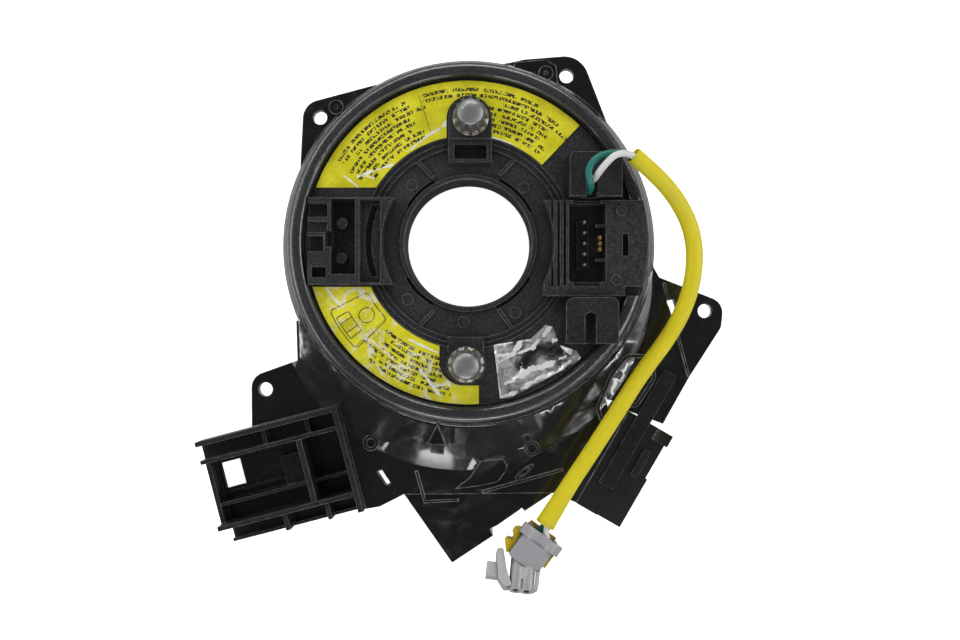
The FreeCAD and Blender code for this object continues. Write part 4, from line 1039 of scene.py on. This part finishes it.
@dataclass
class Studio:
    """Pale floor, soft lamps and narrow strips for glints, and the camera above the part.

    The camera's place and the floor's drop are in millimetres.
    """

    camera_at: Point = (3.66, -23.8, 386.0)
    lens: float = 43.05
    sensor: float = 36.0
    floor_size: float = 3.0
    floor_drop: float = 0.2
    floor_grey: float = 0.86
    floor_glow: float = 0.97
    aim: Point = (0.0, 0.0, 0.02)
    lamps: tuple[Lamp, ...] = (
        Lamp("soft_left", (-0.42, 0.12, 0.3), 0.42, 0.3, 1.0, lights_all=True),
        Lamp("soft_right", (0.45, 0.1, 0.32), 0.4, 0.3, 1.0, lights_all=True),
        Lamp("soft_front", (0.05, -0.5, 0.34), 0.5, 0.22, 1.0, lights_all=True,
             mirrored=False),
        Lamp("soft_back", (-0.05, 0.5, 0.36), 0.5, 0.22, 1.0, lights_all=True),
        Lamp("glint_south", (-0.075, -0.41, 0.5), 0.08, 0.02, 0.1),
        Lamp("glint_rim", (0.09, -0.24, 0.5), 0.3, 0.03, 0.07),
        Lamp("glint_left", (-0.5, -0.1, 0.22), 0.5, 0.08, 1.4),
        Lamp("glint_right", (0.5, -0.05, 0.24), 0.5, 0.08, 2.2),
        Lamp("glint_front", (0.0, -0.52, 0.24), 0.5, 0.05, 2.4),
        Lamp("glint_back", (0.05, 0.5, 0.3), 0.5, 0.08, 2.2),
        Lamp("glint_corner", (-0.34, 0.36, 0.42), 0.3, 0.05, 1.0),
        Lamp("glint_east", (0.36, -0.3, 0.45), 0.3, 0.04, 0.7))

    def build(self) -> None:
        """Set up the floor, the world, the lamps and the camera."""
        self.floor()
        self.world()
        for lamp in self.lamps:
            lamp.hang(Vector(self.aim))
        self.camera()
        bpy.context.scene.view_settings.view_transform = "Standard"

    def floor(self) -> None:
        """Lay a white floor that keeps the part's shadow."""
        bm = bmesh.new()
        bmesh.ops.create_grid(bm, x_segments=1, y_segments=1, size=self.floor_size / 2)
        bmesh.ops.translate(bm, verts=bm.verts, vec=(0, 0, -self.floor_drop * MM))
        mesh = bpy.data.meshes.new("studio_floor")
        bm.to_mesh(mesh)
        bm.free()
        floor = bpy.data.objects.new("studio_floor", mesh)
        bpy.context.scene.collection.objects.link(floor)
        material = bpy.data.materials.new("studio_white")
        material.use_nodes = True
        material.node_tree.nodes.clear()
        sheet = NodeSheet(material.node_tree)
        grey = (self.floor_grey, self.floor_grey, self.floor_grey, 1.0)
        matte = sheet.add("ShaderNodeBsdfDiffuse", {"Color": grey}).outputs[0]
        glow = sheet.add("ShaderNodeEmission", {"Color": WHITE, "Strength": self.floor_glow})
        path = sheet.add("ShaderNodeLightPath")
        seen = sheet.maths("MAXIMUM", path.outputs["Is Camera Ray"],
                           path.outputs["Is Transmission Ray"])
        both = sheet.add("ShaderNodeAddShader", {0: matte, 1: glow.outputs[0]})
        mix = sheet.add("ShaderNodeMixShader", {0: seen, 1: matte, 2: both.outputs[0]})
        sheet.add("ShaderNodeOutputMaterial", {"Surface": mix.outputs[0]})
        mesh.materials.append(material)

    def world(self) -> None:
        """Make a soft grey surround that is darker overhead, white to the camera."""
        world = bpy.data.worlds.new("studio_world")
        bpy.context.scene.world = world
        world.use_nodes = True
        world.node_tree.nodes.clear()
        sheet = NodeSheet(world.node_tree)
        way = sheet.add("ShaderNodeTexCoord").outputs["Generated"]
        height = sheet.add("ShaderNodeSeparateXYZ", {0: way}).outputs["Z"]
        dim = sheet.span(height, 0.35, 0.95, to_low=0.34, to_high=0.1)
        light = sheet.add("ShaderNodeBackground", {"Color": WHITE, "Strength": dim})
        white = sheet.add("ShaderNodeBackground", {"Color": WHITE, "Strength": 1.0})
        path = sheet.add("ShaderNodeLightPath")
        mix = sheet.add("ShaderNodeMixShader", {0: path.outputs["Is Camera Ray"],
                                                1: light.outputs[0], 2: white.outputs[0]})
        sheet.add("ShaderNodeOutputWorld", {"Surface": mix.outputs[0]})

    def camera(self) -> None:
        """Hang the camera straight above, as in the photograph."""
        data = bpy.data.cameras.new("photo_camera")
        data.lens = self.lens
        data.sensor_width = self.sensor
        data.clip_start = 0.01
        camera = bpy.data.objects.new("photo_camera", data)
        camera.location = [v * MM for v in self.camera_at]
        bpy.context.scene.collection.objects.link(camera)
        bpy.context.scene.camera = camera


def main() -> None:
    """Build the studio and every sub-assembly in order."""
    logging.basicConfig(level=logging.INFO, format="%(message)s")
    Studio().build()
    Lead().build()
    Stator().build()
    Rotor().build()
    FilmPiece("upper_label", "upper_label_print", Palette.label_rows).build()
    FilmPiece("lower_label", "lower_label_print", Palette.label_frame, seed=4.0).build()
    FilmPiece("clear_film", "clear_film_sheet", Palette.film, step=0.8, lift=1.0,
              crease=140.0).build()
    Plug().build()


if __name__ == "__main__":
    main()
